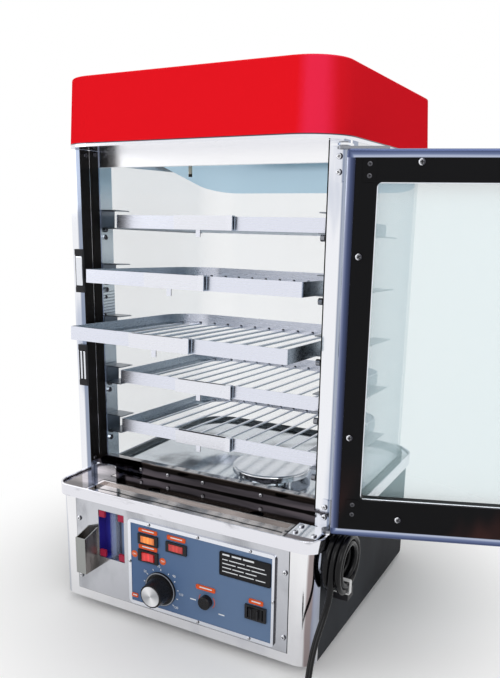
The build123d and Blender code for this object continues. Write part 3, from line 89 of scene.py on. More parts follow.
# %% [markdown]
# The mains lead leaves the side of the base through a gland, goes up into a hank of five
# and a half turns that hangs under the door, and drops to the table and its plug. Each
# turn takes twelve points, which lie a little outside the lead's line because a spline
# cuts the corners between its points. The turns lie side by side in three layers.

# %% Path of the lead
lead_diameter = 7 * MM
lead_exit = Vector((187.5, -119.5, 105)) * MM
lead_rise = Vector((0, 0, 10)) * MM
hank_middle = Vector((187.5, -150, 129)) * MM
turn_points = 12
inner_turn = 23.5 * MM
outer_turn = 30.5 * MM
turn_radii = (outer_turn, inner_turn, inner_turn, inner_turn, outer_turn, outer_turn)
turn_layers = (0, 0, 1, 2, 2, 1)
turn_count = 5.5
inside_corner = 1 / cos(pi / turn_points)
lead_tail = [
    (194.5, -181.3, 106),
    (193, -187, 90),
    (191.5, -197.5, 75),
    (191, -210.5, 61),
    (192.5, -224.5, 46.5),
    (195.5, -237.5, 33),
    (199.5, -250.5, 20.5),
    (205, -264.5, 9),
    (211.5, -279.5, 3.8),
    (218.5, -295.5, 3.8),
]


def smooth_step(value):
    """Ease from 0 to 1."""
    value = max(0, min(1, value))
    return value * value * (3 - 2 * value)


def hank_point(turns):
    """A control point after so many turns, which passes to the next turn in its last third."""
    index = int(turns)
    onward = min(index + 1, len(turn_radii) - 1)
    blend = smooth_step((turns - index) * 3 - 2)
    radius = turn_radii[index] * (1 - blend) + turn_radii[onward] * blend
    layer = turn_layers[index] * (1 - blend) + turn_layers[onward] * blend
    corner = radius * inside_corner
    angle = 2 * pi * turns
    offset = Vector((layer * lead_diameter, corner * cos(angle), corner * sin(angle)))
    return hank_middle + offset


lead_points = [lead_exit, lead_exit + lead_rise]
lead_points += [
    hank_point(step / turn_points) for step in range(int(turn_count * turn_points) + 1)
]
lead_points += [Vector(point) * MM for point in lead_tail]
print("lead points", len(lead_points))

# %% [markdown]
# One spline through these points, with a round bevel, makes the lead. The bevel is 1 and
# each point's radius is the lead's own, so that the curve's box fits the lead closely.
# The length is measured on the spline before it gets its bevel.

# %% Mains lead
lead_curve = bpy.data.curves.new("mains_lead", "CURVE")
lead_curve.dimensions = "3D"
lead_spline = lead_curve.splines.new("NURBS")
lead_spline.points.add(len(lead_points) - 1)
for point, place in zip(lead_spline.points, lead_points):
    point.co = (*place, 1)
    point.radius = lead_diameter / 2
lead_spline.order_u = 3
lead_spline.use_endpoint_u = True
lead_curve.resolution_u = 6
mains_lead = bpy.data.objects.new("mains_lead", lead_curve)
bpy.context.scene.collection.objects.link(mains_lead)
lead_line = bpy.data.meshes.new_from_object(mains_lead)
lead_path = [vertex.co.copy() for vertex in lead_line.vertices]
lead_length = sum((b - a).length for a, b in zip(lead_path, lead_path[1:]))
lead_curve.bevel_depth = 1.0
lead_curve.bevel_resolution = 6
lead_curve.use_fill_caps = True
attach(mains_lead, "case")
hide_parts("cord_tube", "cord_hank")
print("lead length", round(lead_length, 4))

# %% [markdown]
# Shader maths reads more easily as Python. A Wire stands for one output of a node, and
# adding or multiplying wires adds the Math nodes. Patterns are drawn with two shapes: a
# slope between two values, and a band round one value.


# %% Wires
class Wire:
    """One output of a finish's nodes, on which Python's arithmetic works."""

    def __init__(self, finish, socket):
        self.finish = finish
        self.socket = socket

    def maths(self, operation, *values):
        inputs = dict(enumerate(values))
        return self.finish.node("ShaderNodeMath", {"operation": operation}, inputs)

    def change(self, operation):
        """An operation that takes this value alone, such as SINE."""
        return self.maths(operation, self)

    def __add__(self, other):
        return self.maths("ADD", self, other)

    __radd__ = __add__

    def __mul__(self, other):
        return self.maths("MULTIPLY", self, other)

    __rmul__ = __mul__

    def __sub__(self, other):
        return self.maths("SUBTRACT", self, other)

    def __rsub__(self, other):
        return self.maths("SUBTRACT", other, self)

    def most(self, other):
        """The larger of two values."""
        return self.maths("MAXIMUM", self, other)

    def least(self, other):
        """The smaller of two values."""
        return self.maths("MINIMUM", self, other)

    def between(self, low, high):
        """0 below low, 1 above high and a smooth slope between them."""
        return self.finish.node(
            "ShaderNodeMapRange",
            {"interpolation_type": "SMOOTHSTEP"},
            {"Value": self, "From Min": low, "From Max": high},
        )

    def band(self, middle, half_width, soft):
        """1 within half_width of middle, and 0 further than soft beyond that."""
        away = (self - middle).change("ABSOLUTE")
        return 1 - away.between(half_width, half_width + soft)


# %% [markdown]
# A Finish is one material: it keeps the Principled shader and has a short method for each
# kind of pattern used here. All patterns are read from the object's own coordinates or
# from the way the surface faces, so they stay on the piece when the view moves.


# %% Finishes
class Finish:
    """One material: its Principled shader, and short ways to add nodes to it."""

    def __init__(self, name, colour, roughness, metallic=0.0, sockets=None):
        self.material = bpy.data.materials.new(name)
        self.material.use_nodes = True
        self.tree = self.material.node_tree
        self.shader = self.tree.nodes["Principled BSDF"]
        self.colour = colour
        self.shader.inputs["Base Color"].default_value = (*colour, 1)
        self.shader.inputs["Roughness"].default_value = roughness
        self.shader.inputs["Metallic"].default_value = metallic
        for socket, value in (sockets or {}).items():
            self.shader.inputs[socket].default_value = value
        self.material.diffuse_color = (*colour, 1)
        self.object_place = self.node("ShaderNodeTexCoord", output="Object")

    def node(self, kind, settings=None, inputs=None, output=0):
        """Any node: its settings come first, then its inputs, each a value or a wire."""
        made = self.tree.nodes.new(kind)
        for key, value in (settings or {}).items():
            if key == "stops":
                ramp = made.color_ramp
                while len(ramp.elements) < len(value):
                    ramp.elements.new(1)
                for element, (position, colour) in zip(ramp.elements, value):
                    element.position = position
                    element.color = (*colour, 1)
            else:
                setattr(made, key, value)
        for key, value in (inputs or {}).items():
            if isinstance(value, Wire):
                self.tree.links.new(value.socket, made.inputs[key])
            else:
                made.inputs[key].default_value = value
        return Wire(self, made.outputs[output])

    def axis(self, letter):
        """The object's own X, Y or Z, in metres."""
        return self.node("ShaderNodeSeparateXYZ", None, {0: self.object_place}, letter)

    def facing(self, letter):
        """How far the surface faces along X, Y or Z."""
        normal = self.node("ShaderNodeNewGeometry", output="Normal")
        return self.node("ShaderNodeSeparateXYZ", None, {0: normal}, letter)

    def noise(self, scale, stretch=(1, 1, 1), detail=3.0):
        """Soft noise from 0 to 1, drawn out along an axis whose stretch is small."""
        place = self.node("ShaderNodeMapping", None, {0: self.object_place, "Scale": stretch})
        inputs = {"Vector": place, "Scale": scale, "Detail": detail}
        return self.node("ShaderNodeTexNoise", None, inputs)

    def mix(self, factor, first, second):
        """The first colour where the factor is 0, and the second where it is 1."""
        colours = {
            key: value if isinstance(value, Wire) else (*value, 1)
            for key, value in ((6, first), (7, second))
        }
        return self.node("ShaderNodeMix", {"data_type": "RGBA"}, {0: factor, **colours}, 2)

    def ramp(self, factor, *stops):
        return self.node("ShaderNodeValToRGB", {"stops": stops}, {0: factor})

    def feed(self, socket, wire):
        self.tree.links.new(wire.socket, self.shader.inputs[socket])

    def shade(self, mask, colour):
        """Let the finish's own colour turn to another where the mask is 1."""
        self.feed("Base Color", self.mix(mask, self.colour, colour))

    def bump(self, height, strength, distance):
        inputs = {"Height": height, "Strength": strength, "Distance": distance}
        self.feed("Normal", self.node("ShaderNodeBump", None, inputs))


# %% [markdown]
# Most of the case is stainless steel. Its brushed sheets carry faint streaks along the
# rolling direction, so the noise is stretched along one axis and drives the roughness and
# a very small bump.

# %% Brushed steel
fine_relief = 0.2 * MM
streak_scale = 900
streak_range = 0.10


def brushed(name, colour, roughness, stretch=(1, 1, 1), metallic=1.0):
    """Steel with streaks along the axis that stretch leaves smallest."""
    steel = Finish(name, colour, roughness, metallic)
    streaks = steel.noise(streak_scale, stretch, 2.0)
    steel.feed("Roughness", streaks * streak_range + (roughness - streak_range / 2))
    steel.bump(streaks, 0.05, fine_relief)
    return steel


# %% [markdown]
# Each rack is painted pale on top and in front, as lit steel, and greyer on the faces that
# look elsewhere, as painted shade. The pocket in its pull has painted shade inside, and so
# do the rods' ends on the far band. The racks tilt towards the front, so the places of these
# marks are worked out in the tray's plane, and each rack has a finish of its own because
# each is drawn out by another length.

# %% Rack finishes
lit_rack_steel = (0.80, 0.81, 0.87)
shaded_steel = (0.32, 0.38, 0.44)
plain_front = (0.74, 0.76, 0.85)
pocket_shade = (0.012, 0.014, 0.03)
rack_tilt = radians(2.5)
pull_depth = 7 * MM
pocket_left, pocket_right = -50 * MM, 21 * MM
rod_pitch = 22 * MM
rod_depth = 14 * MM
rack_count = 5


def rack_finish(number):
    """Steel for one rack, with painted light in front and painted shade inside the pocket of its
    pull.
    """
    rack = brushed(f"rack_steel_{number}", lit_rack_steel, 0.28, (0.05, 1, 1))
    low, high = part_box(f"rack_{number}")
    level, rise = cos(rack_tilt), sin(rack_tilt)
    x, y, z = (rack.axis(letter) for letter in "XYZ")
    behind = y * level - z * rise - (low.y * level - high.z * rise)
    height = z * level + y * rise - (high.z * level + low.y * rise - rod_depth)
    forwards = (0 - rack.facing("Y")).between(0.3, 0.8)
    upwards = rack.facing("Z").between(0.2, 0.9)

    in_pull = 1 - behind.between(pull_depth - 0.6 * MM, pull_depth - 0.2 * MM)
    left_of_end = 1 - x.between(pocket_right - 1 * MM, pocket_right + 1 * MM)
    pocket_sides = in_pull * (1 - forwards) * left_of_end
    pocket_width = x.between(pocket_left - 0.5 * MM, pocket_left)
    pocket_width = pocket_width * (1 - x.between(pocket_right - 0.5 * MM, pocket_right))
    pocket_back = behind.band(pull_depth + 0.6 * MM, 1.2 * MM, 0.3 * MM)
    pocket = pocket_sides.most(pocket_back * forwards * pocket_width)

    rods = (x * (2 * pi / rod_pitch)).change("COSINE").between(0.84, 0.92)
    rod_end_shade = rods * height.band(0, 1.6 * MM, 0.8 * MM)
    far_band = behind.between(190 * MM, 200 * MM)
    # Painted shade: inside the pull's pocket and at the rods' ends on the far band.
    dark = pocket.most(rod_end_shade * forwards * far_band)

    # Painted light: pale where the steel faces forwards or up, painted shade elsewhere.
    front = rack.mix(forwards * behind.between(2 * MM, 5 * MM), lit_rack_steel, plain_front)
    lit = rack.mix(forwards.most(upwards), shaded_steel, front)
    rack.feed("Base Color", rack.mix(dark, lit, pocket_shade))
    return rack


rack_steels = {number: rack_finish(number) for number in range(1, rack_count + 1)}
print("rack finishes", len(rack_steels))

# %% [markdown]
# The uprights behind the door posts have two short ribbed fields, drawn only as painted
# shade in the grooves: a sine along Z inside two bands. The header under the hood is nearly
# white, and the ceiling plate has a painted reflection of the room in cold blue that gets
# deeper high up towards its right end.

# %% Cabinet steels
sheet_steel = brushed("sheet_steel", (0.74, 0.75, 0.78), 0.22, (0.05, 1, 1))
header_steel = brushed("header_steel", (0.96, 0.96, 0.98), 0.25, (0.03, 1, 1))
bracket_steel = brushed("bracket_steel", (0.20, 0.22, 0.25), 0.3, (1, 0.05, 1))

upright_steel = brushed("upright_steel", (0.50, 0.56, 0.60), 0.25, (1, 1, 0.05))
rib_angle_per_metre = 1600
upright_height = upright_steel.axis("Z")
rib_groove_shade = (upright_height * rib_angle_per_metre).change("SINE").between(0.3, 0.8)
upper_field = upright_height.band(385 * MM, 16 * MM, 4 * MM)
lower_field = upright_height.band(296 * MM, 12 * MM, 4 * MM)
# Painted shade in the grooves of the ribbed fields.
upright_steel.shade(rib_groove_shade * upper_field.most(lower_field) * 0.7, (0.10, 0.12, 0.14))

ceiling_steel = brushed("ceiling_steel", (0.50, 0.72, 0.86), 0.35, (1, 0.05, 1))
high_up = ceiling_steel.axis("Z").between(556 * MM, 566 * MM)
to_the_right = ceiling_steel.axis("X").between(-60 * MM, 30 * MM)
# Painted reflection of the room, deeper blue high up towards the right end.
ceiling_steel.shade(high_up * to_the_right, (0.14, 0.32, 0.44))
print("cabinet steels made")

# %% [markdown]
# Glass is mostly see-through. Its alpha is low where the eye looks straight in and higher
# at a glancing angle, as real panes show more of their surface there. The cabinet's bent
# glass has a cold grey tint, and the door's thicker pane a stronger cyan.


# %% Glass finishes
def pane(name, tint, clear, grazing):
    """Clear glass that turns milky at a glancing angle."""
    glass = Finish(name, tint, 0.03)
    slant = glass.node("ShaderNodeLayerWeight", None, {"Blend": 0.35}, "Facing")
    haze = glass.noise(6, (1, 1, 0.4), 2.0)
    glass.feed("Alpha", slant * (grazing - clear) + clear + haze * 0.04)
    return glass


cabinet_glass = pane("cabinet_glass", (0.80, 0.92, 1.0), 0.08, 0.34)
door_pane = pane("door_pane", (0.68, 0.90, 0.94), 0.22, 0.6)
gauge_glass = pane("gauge_glass", (0.70, 0.80, 0.98), 0.05, 0.25)
print("glass finishes made")

# %% [markdown]
# The hood is a moulded shell in one red. Painted shade makes the red a little deeper where
# the skin turns to the right, with a faint random drift, and a painted highlight makes it
# paler along the rounded corner; only the top has a thin soft coat.
# The shader's own gloss is off, because on a pale stage it would wash the red out.

# %% Hood finish
hood_red = (0.93, 0.010, 0.018)
hood_shaded_red = (0.74, 0.012, 0.022)
hood_highlight_red = (0.98, 0.03, 0.09)
hood_sockets = {"Specular IOR Level": 0.0, "Coat Roughness": 0.3}
hood_finish = Finish("hood_red", hood_red, 0.4, 0.0, hood_sockets)
sideways = hood_finish.facing("X")
drift = hood_finish.noise(5, (1, 1, 1), 2.0)
# Painted shade on the side that looks right, with a faint random drift; painted highlight along
# the corner.
side_shade_and_drift = sideways.between(0.45, 0.95) * 0.8 + drift * 0.1
corner_highlight = sideways.band(0.5, 0.1, 0.3)
hood_paint = hood_finish.mix(side_shade_and_drift, hood_red, hood_shaded_red)
hood_finish.feed("Base Color", hood_finish.mix(corner_highlight * 0.8, hood_paint, hood_highlight_red))
hood_finish.feed("Coat Weight", hood_finish.facing("Z").between(0.1, 0.9) * 0.3)
hood_finish.bump(hood_finish.noise(700), 0.02, fine_relief)
print("hood finish made")

# %% [markdown]
# Plastic and rubber differ by colour, by how rough they are and by how much they shine.
# The dial's skirt has a thin grey painted highlight round its rim, which is a band of the
# distance from the dial's middle, and the door's black liner has a reddish-brown painted
# reflection in patches low down.

# %% Moulded finishes
dial_x, dial_z = -19, 58
knob_black = (0.012, 0.012, 0.014)
rim_highlight_grey = (0.34, 0.36, 0.40)
grain_range = 0.12


def moulded(name, colour, roughness, grain=0.04, shine=0.2):
    """Moulded plastic or rubber, with a fine grain in its skin."""
    plastic = Finish(name, colour, roughness, 0.0, {"Specular IOR Level": shine})
    skin = plastic.noise(1400)
    plastic.feed("Roughness", skin * grain_range + (roughness - grain_range / 2))
    plastic.bump(skin, grain, fine_relief)
    return plastic


black_rubber = moulded("black_rubber", (0.018, 0.018, 0.02), 0.55, 0.1)
lead_rubber = moulded("lead_rubber", (0.004, 0.004, 0.005), 0.2, 0.05)
switch_black = moulded("switch_black", (0.02, 0.02, 0.023), 0.35)
dial_black = moulded("dial_black", knob_black, 0.28)
tie_white = moulded("tie_white", (0.8, 0.8, 0.8), 0.4)
label_orange = moulded("label_orange", (0.80, 0.13, 0.03), 0.45)
mark_white = moulded("mark_white", (0.85, 0.87, 0.9), 0.5)
plate_black = moulded("plate_black", (0.01, 0.01, 0.012), 0.4)
recess_dark = moulded("recess_dark", knob_black, 0.5)
block_red = moulded("block_red", (0.42, 0.02, 0.06), 0.3)
seal_black = moulded("seal_black", (0.006, 0.005, 0.005), 0.3, shine=0.06)

skirt_black = moulded("skirt_black", knob_black, 0.28)
skirt_across = skirt_black.axis("X") - dial_x * MM
skirt_up = skirt_black.axis("Z") - dial_z * MM
skirt_radius = (skirt_across * skirt_across + skirt_up * skirt_up).change("SQRT")
# Painted highlight round the skirt's rim.
skirt_black.shade(skirt_radius.band(20.5 * MM, 0.4 * MM, 0.4 * MM), rim_highlight_grey)

liner_black = Finish("liner_black", (0.008, 0.008, 0.009), 0.3, 0.0, {"Specular IOR Level": 0.05})
low_reflection_patches = liner_black.noise(9, (1, 1, 0.5), 3.0).between(0.52, 0.75)
low_down = 1 - liner_black.axis("Z").between(170 * MM, 260 * MM)
# Painted reddish-brown reflection in patches low down on the liner.
liner_black.shade(low_reflection_patches * low_down, (0.10, 0.035, 0.03))
print("moulded finishes made")

# %% [markdown]
# The control plate is blue painted steel, with painted light that makes it lighter towards
# its right end, broken by soft noise clouds. Lamps and the power rocker are ridged coloured
# plastic, and glow round the lamp behind them.

# %% Plate and lenses
panel_blue = (0.075, 0.145, 0.30)
panel_lit_blue = (0.16, 0.24, 0.38)
plate_blue = Finish("plate_blue", panel_blue, 0.4, 0.0, {"Specular IOR Level": 0.2})
rightwards = plate_blue.axis("X").between(-70 * MM, 130 * MM)
cloud = plate_blue.noise(14, (1, 1, 1), 3.0)
# Painted light growing towards the right end, broken by soft noise clouds.
plate_blue.shade(rightwards * 0.6 + cloud * 0.3, panel_lit_blue)
plate_blue.bump(plate_blue.noise(1200), 0.04, fine_relief)
lens_ridge_angle_per_metre = 1200


def lit_lens(name, colour, glow, middle, spread):
    """A lens that is brightest round its lamp, whose middle and spread are in millimetres."""
    lens = Finish(name, colour, 0.25, 0.0, {"Coat Weight": 0.5, "Emission Strength": 1.0})
    place = lens.node(
        "ShaderNodeVectorMath",
        {"operation": "DISTANCE"},
        {0: lens.object_place, 1: Vector(middle) * MM},
        "Value",
    )
    core = 1 - place.between(0, spread * MM)
    ridges = (lens.axis("X") * lens_ridge_angle_per_metre).change("SINE") * 0.25 + 0.75
    lens.feed("Emission Color", lens.mix(core * ridges, (0, 0, 0), glow))
    return lens


orange_lens = lit_lens(
    "orange_lens", (0.75, 0.16, 0.02), (0.75, 0.28, 0.04), (-36.5, -195, 118), 12
)
red_lens = lit_lens("red_lens", (0.45, 0.01, 0.01), (0.35, 0.03, 0.02), (4.3, -195, 117), 12)
power_red = lit_lens("power_red", (0.55, 0.012, 0.014), (0.6, 0.03, 0.03), (-36.5, -196, 96), 11)
print("plate and lenses made")

# %% [markdown]
# Polished pieces mirror what stands round them. On a pale stage they would turn white, so
# the darker patches and bands that such pieces carry are painted: as patches of noise, or
# along the piece's own axes, as a film of shade on the metal would lie.


# %% Polished finishes
def polished(name, colour, roughness=0.08, unevenness=0.03):
    """Mirror steel, with the slight waves of real sheet."""
    mirror = Finish(name, colour, roughness, 1.0)
    mirror.bump(mirror.noise(40, (1, 1, 1), 2.0), unevenness, 1 * MM)
    return mirror


def mottled(name, light, dark, scale, stretch, low, high, roughness=0.08):
    """Mirror steel with patches of dark that stand for what it mirrors."""
    mirror = polished(name, light, roughness)
    mirror.shade(mirror.noise(scale, stretch, 4.0).between(low, high), dark)
    return mirror


band_mirror = mottled(
    "band_mirror", (0.78, 0.78, 0.83), (0.30, 0.30, 0.33), 16, (1.4, 1.4, 5), 0.55, 0.75
)
deck_mirror = mottled(
    "deck_mirror", (0.62, 0.66, 0.70), (0.20, 0.22, 0.24), 18, (1, 1, 1), 0.45, 0.75, 0.1
)
threshold_mirror = mottled(
    "threshold_mirror", (0.34, 0.31, 0.32), (0.12, 0.11, 0.115), 20, (0.6, 3, 1), 0.35, 0.65
)
handle_chrome = mottled(
    "handle_chrome", (0.82, 0.83, 0.88), (0.10, 0.12, 0.18), 12, (1, 1, 3), 0.45, 0.6
)
print("mottled finishes made")

# %% [markdown]
# The door posts are pale with soft grey clouds of painted reflection, and carry a dark
# painted reflection along the edge beside the seal on the left and the outer edge on the
# right. A bright painted reflection runs as a line where the left post's inner face meets
# the seal.

# %% Post finish
post_chrome = polished("post_chrome", (0.84, 0.85, 0.90))
post_reflection_cloud = post_chrome.noise(22, (1, 1, 0.2), 3.0).between(0.52, 0.7)
post_paint = post_chrome.mix(post_reflection_cloud, (0.86, 0.87, 0.91), (0.55, 0.59, 0.70))
inner_edge = post_chrome.axis("X").band(-162.5 * MM, 2.2 * MM, 3 * MM)
outer_edge = post_chrome.axis("X").band(176.5 * MM, 1 * MM, 2 * MM)
post_edge_reflection = inner_edge.most(outer_edge) * 0.85
post_paint = post_chrome.mix(post_edge_reflection, post_paint, (0.20, 0.25, 0.36))
seal_line_reflection = post_chrome.axis("Y").band(-130.2 * MM, 2.4 * MM, 0.4 * MM)
seal_line_reflection = seal_line_reflection * post_chrome.facing("X").between(0.6, 0.9)
# Painted reflections: grey clouds, dark edges and a bright line at the seal.
post_chrome.feed("Base Color", post_chrome.mix(seal_line_reflection, post_paint, (0.96, 0.96, 0.98)))
print("post finish made")

# %% [markdown]
# The base's front is one bent polished sheet. It mirrors what is beside it in upright
# smears: a grey one at the left corner, and a brown and a blue one beside each other at
# the right corner. Noise shifts them sideways a little, so that they don't run dead
# straight.

# %% Front finish
front_mirror = polished("front_mirror", (0.78, 0.79, 0.83))
smear = (front_mirror.noise(30, (1, 1, 0.15), 3.0) - 0.5) * (12 * MM)
across = front_mirror.axis("X") + smear
brown = across.band(172.5 * MM, 2.2 * MM, 3 * MM)
blue = across.band(177 * MM, 1.2 * MM, 2 * MM)
left_grey = across.band(-172 * MM, 2 * MM, 5 * MM)
front_cloud = front_mirror.noise(12, (1, 1, 0.5), 4.0).between(0.5, 0.75)
front_paint = front_mirror.mix(front_cloud, (0.84, 0.84, 0.86), (0.55, 0.55, 0.60))
front_paint = front_mirror.mix(left_grey * 0.8, front_paint, (0.40, 0.43, 0.52))
front_paint = front_mirror.mix(brown * 0.85, front_paint, (0.22, 0.16, 0.16))
front_mirror.feed("Base Color", front_mirror.mix(blue * 0.7, front_paint, (0.30, 0.35, 0.48)))
print("front finish made")

# %% [markdown]
# The drip tray and the sill behind it mirror the dark seal and each other. The tray has
# one thin wavering line and a dark far edge, and the sill's shades lie one above another,
# so they are a ramp over its height.

# %% Tray and sill finishes
seal_shadow = (0.01, 0.009, 0.009)
tray_grey = (0.60, 0.56, 0.55)
tray_mirror = polished("tray_mirror", tray_grey, 0.12)
tray_patches = tray_mirror.noise(12, (1, 4, 1), 4.0).between(0.4, 0.7)
tray_paint = tray_mirror.mix(tray_patches, tray_grey, (0.42, 0.39, 0.38))
tray_wave = (tray_mirror.noise(25, (1, 0.2, 1), 2.0) - 0.5) * (6 * MM)
tray_line = (tray_mirror.axis("Y") + tray_wave).band(-171 * MM, 1.1 * MM, 1 * MM)
tray_edge = tray_mirror.axis("Y").between(-150.5 * MM, -149.8 * MM)
tray_dark = tray_line.most(tray_edge)
tray_mirror.feed("Base Color", tray_mirror.mix(tray_dark, tray_paint, seal_shadow))

sill_low, sill_height = 161.5 * MM, 20 * MM
sill_mirror = polished("sill_mirror", (0.2, 0.2, 0.2))
sill_wave = (sill_mirror.noise(30, (1, 1, 1), 2.0) - 0.5) * (4 * MM)
sill_shades = sill_mirror.ramp(
    (sill_mirror.axis("Z") + sill_wave - sill_low) * (1 / sill_height),
    (0.0, seal_shadow),
    (0.10, seal_shadow),
    (0.16, (0.22, 0.20, 0.22)),
    (0.50, (0.15, 0.14, 0.16)),
    (0.58, (0.02, 0.017, 0.016)),
    (0.90, (0.045, 0.036, 0.032)),
    (0.97, (0.45, 0.44, 0.45)),
)
sill_mirror.feed("Base Color", sill_shades)
print("tray and sill finishes made")

# %% [markdown]
# The sides and back of the base are a charcoal painted sheet with a slight mist over it.

# %% Side finish
side_charcoal = Finish(
    "side_charcoal", (0.022, 0.024, 0.028), 0.5, 0.0, {"Specular IOR Level": 0.04}
)
mist = side_charcoal.noise(7, (1, 1, 0.6), 3.0).between(0.4, 0.75)
side_paint = side_charcoal.mix(mist, (0.013, 0.014, 0.017), (0.034, 0.037, 0.043))
side_charcoal.feed("Base Color", side_paint)
side_charcoal.bump(side_charcoal.noise(900), 0.03, fine_relief)
print("side finish made")

# %% [markdown]
# Small metal pieces take plain brushed steels. Some have one dark part: painted shade on
# the bezel's right wall, the painted shadow of the hood on the top of its lip, the probe's
# dark tip, and painted shade on the side of a screw that looks to the right. The dial's
# turned cap has a painted sheen that goes round with the angle, light on two sides and dark
# on the other two.

# %% Small metal pieces
bezel_chrome = brushed("bezel_chrome", (0.80, 0.82, 0.88), 0.18, (0.05, 1, 1))
bezel_side_shade = bezel_chrome.axis("X").between(133 * MM, 133.6 * MM)
# Painted shade on the bezel's right wall.
bezel_chrome.shade(bezel_side_shade, (0.05, 0.05, 0.06))

lip_steel = brushed("lip_steel", (0.80, 0.81, 0.86), 0.15, (0.05, 1, 1))
# Painted shadow of the hood on the top of the lip.
lip_steel.shade(lip_steel.axis("Z").between(577.5 * MM, 578.2 * MM), (0.06, 0.05, 0.07))

probe_metal = brushed("probe_metal", (0.55, 0.50, 0.40), 0.3)
probe_tip = 1 - probe_metal.axis("Z").between(551.5 * MM, 552.5 * MM)
probe_metal.shade(probe_tip, (0.03, 0.03, 0.03))

screw_steel = brushed("screw_steel", (0.78, 0.79, 0.83), 0.12)
# Painted shade on the side of each screw that looks to the right.
screw_steel.shade(screw_steel.facing("X").between(0.05, 0.45), (0.05, 0.05, 0.06))

cap_metal = brushed("cap_metal", (0.86, 0.86, 0.87), 0.35, metallic=0.6)
cap_across = cap_metal.axis("X") - dial_x * MM
cap_up = cap_metal.axis("Z") - dial_z * MM
cap_angle = cap_across.maths("ARCTAN2", cap_across, cap_up)
cap_sheen = (cap_angle * 2 + 0.9).change("COSINE") * 0.5 + 0.5
cap_metal.feed("Base Color", cap_metal.mix(cap_sheen, (0.42, 0.43, 0.45), (0.93, 0.93, 0.95)))

dome_steel = brushed("dome_steel", (0.78, 0.80, 0.84), 0.15)
pin_steel = brushed("pin_steel", (0.26, 0.27, 0.30), 0.25)
element_metal = brushed("element_metal", (0.3, 0.27, 0.25), 0.4)
strike_steel = brushed("strike_steel", (0.70, 0.72, 0.78), 0.2, (1, 1, 0.05))
strip_steel = brushed("strip_steel", (0.78, 0.80, 0.85), 0.16, (1, 1, 0.05))
rivet_dark = brushed("rivet_dark", (0.09, 0.09, 0.10), 0.35)
nut_dark = brushed("nut_dark", (0.10, 0.11, 0.12), 0.3)
print("small metal finishes made")

# %% [markdown]
# The door's frame is a polished section with a rounded rim. What it mirrors follows its
# edges, so the shades are ramps over the distance from the nearest edge of the door: one
# for the two upright sides, and one for the rims of the top and bottom rails.

# %% Door frame finish
door_angle = radians(20.46)
door_along = Vector((cos(door_angle), sin(door_angle), 0))
door_out = Vector((-door_along.y, door_along.x, 0))
door_corner = Vector((185.99, -167.80, 0)) * MM
door_width = 352 * MM
door_low = 167.5 * MM
door_high = 563.7 * MM
door_rim = 8 * MM
shaded_width = 10 * MM

door_frame_metal = polished("door_frame_metal", (0.2, 0.25, 0.4), 0.12, 0.02)
along_door = door_frame_metal.node(
    "ShaderNodeVectorMath",
    {"operation": "DOT_PRODUCT"},
    {0: door_frame_metal.object_place, 1: door_along},
    "Value",
)
width_place = along_door - door_corner.dot(door_along)
height_place = door_frame_metal.axis("Z")
from_sides = width_place.least(door_width - width_place)
from_ends = (height_place - door_low).least(door_high - height_place)
from_edge = from_sides.least(from_ends) * (1 / shaded_width)
wave = door_frame_metal.noise(7, (1, 1, 0.5), 2.0) - 0.5
side_shades = door_frame_metal.ramp(
    from_edge + wave * 0.24,
    (0.0, (0.52, 0.56, 0.68)),
    (0.16, (0.20, 0.23, 0.36)),
    (0.4, (0.07, 0.09, 0.18)),
    (0.8, (0.025, 0.03, 0.06)),
)
rim_shades = door_frame_metal.ramp(
    from_edge + wave * 0.15,
    (0.0, (0.13, 0.16, 0.27)),
    (0.2, (0.06, 0.08, 0.17)),
    (0.5, (0.15, 0.19, 0.33)),
    (0.72, (0.48, 0.53, 0.68)),
    (0.95, (0.03, 0.035, 0.06)),
)
level_rim = 1 - from_ends.between(door_rim, door_rim + 0.5 * MM)
door_frame_metal.feed("Base Color", door_frame_metal.mix(level_rim, side_shades, rim_shades))
print("door frame finish made")

# %% [markdown]
# Three pieces stand beside the blue plate. The water window is a blue box with upright
# stripes of light, the field round it is polished sheet with clouds of painted reflection
# and painted shade in the seam at its right end, and the filler's chute is a bare sheet
# whose side wall that looks to the right is darker, as painted shade mottled by noise.

# %% Window, field and chute
window_start, window_span = -116 * MM, 43 * MM
window_finish = Finish("window_blue", (0.05, 0.13, 0.42), 0.2)
window_stripes = window_finish.ramp(
    (window_finish.axis("X") - window_start) * (1 / window_span),
    (0.0, (0.030, 0.020, 0.27)),
    (0.22, (0.045, 0.055, 0.42)),
    (0.34, (0.20, 0.30, 0.62)),
    (0.42, (0.055, 0.065, 0.09)),
    (0.56, (0.07, 0.08, 0.10)),
    (0.64, (0.32, 0.45, 0.72)),
    (0.74, (0.07, 0.08, 0.16)),
    (0.84, (0.04, 0.045, 0.40)),
    (1.0, (0.05, 0.03, 0.30)),
)
window_finish.feed("Base Color", window_stripes)
window_finish.bump(window_finish.noise(300), 0.03, fine_relief)

panel_field = Finish("panel_field", (0.62, 0.63, 0.67), 0.14, 0.9)
# Painted reflection in soft clouds on the polished field.
field_reflection_cloud = panel_field.noise(20, (1, 1, 0.6), 4.0).between(0.45, 0.65)
field_paint = panel_field.mix(field_reflection_cloud, (0.58, 0.59, 0.63), (0.40, 0.41, 0.44))
# Painted shade in the seam at the right end.
seam_shade = panel_field.axis("X").between(149 * MM, 149.4 * MM)
panel_field.feed("Base Color", panel_field.mix(seam_shade, field_paint, (0.02, 0.02, 0.025)))

chute_steel = Finish("chute_steel", (0.3, 0.3, 0.29), 0.2, 0.7)
# Painted shade on the side wall that looks to the right, mottled by noise.
chute_side = chute_steel.facing("X").between(0.4, 0.8)
side_shade_mottle = chute_steel.noise(60, (1, 1, 0.25), 3.0).between(0.4, 0.65)
shaded_side_wall = chute_steel.mix(side_shade_mottle, (0.10, 0.09, 0.08), (0.30, 0.27, 0.25))
chute_steel.feed("Base Color", chute_steel.mix(chute_side, (0.33, 0.34, 0.33), shaded_side_wall))
print("window, field and chute made")
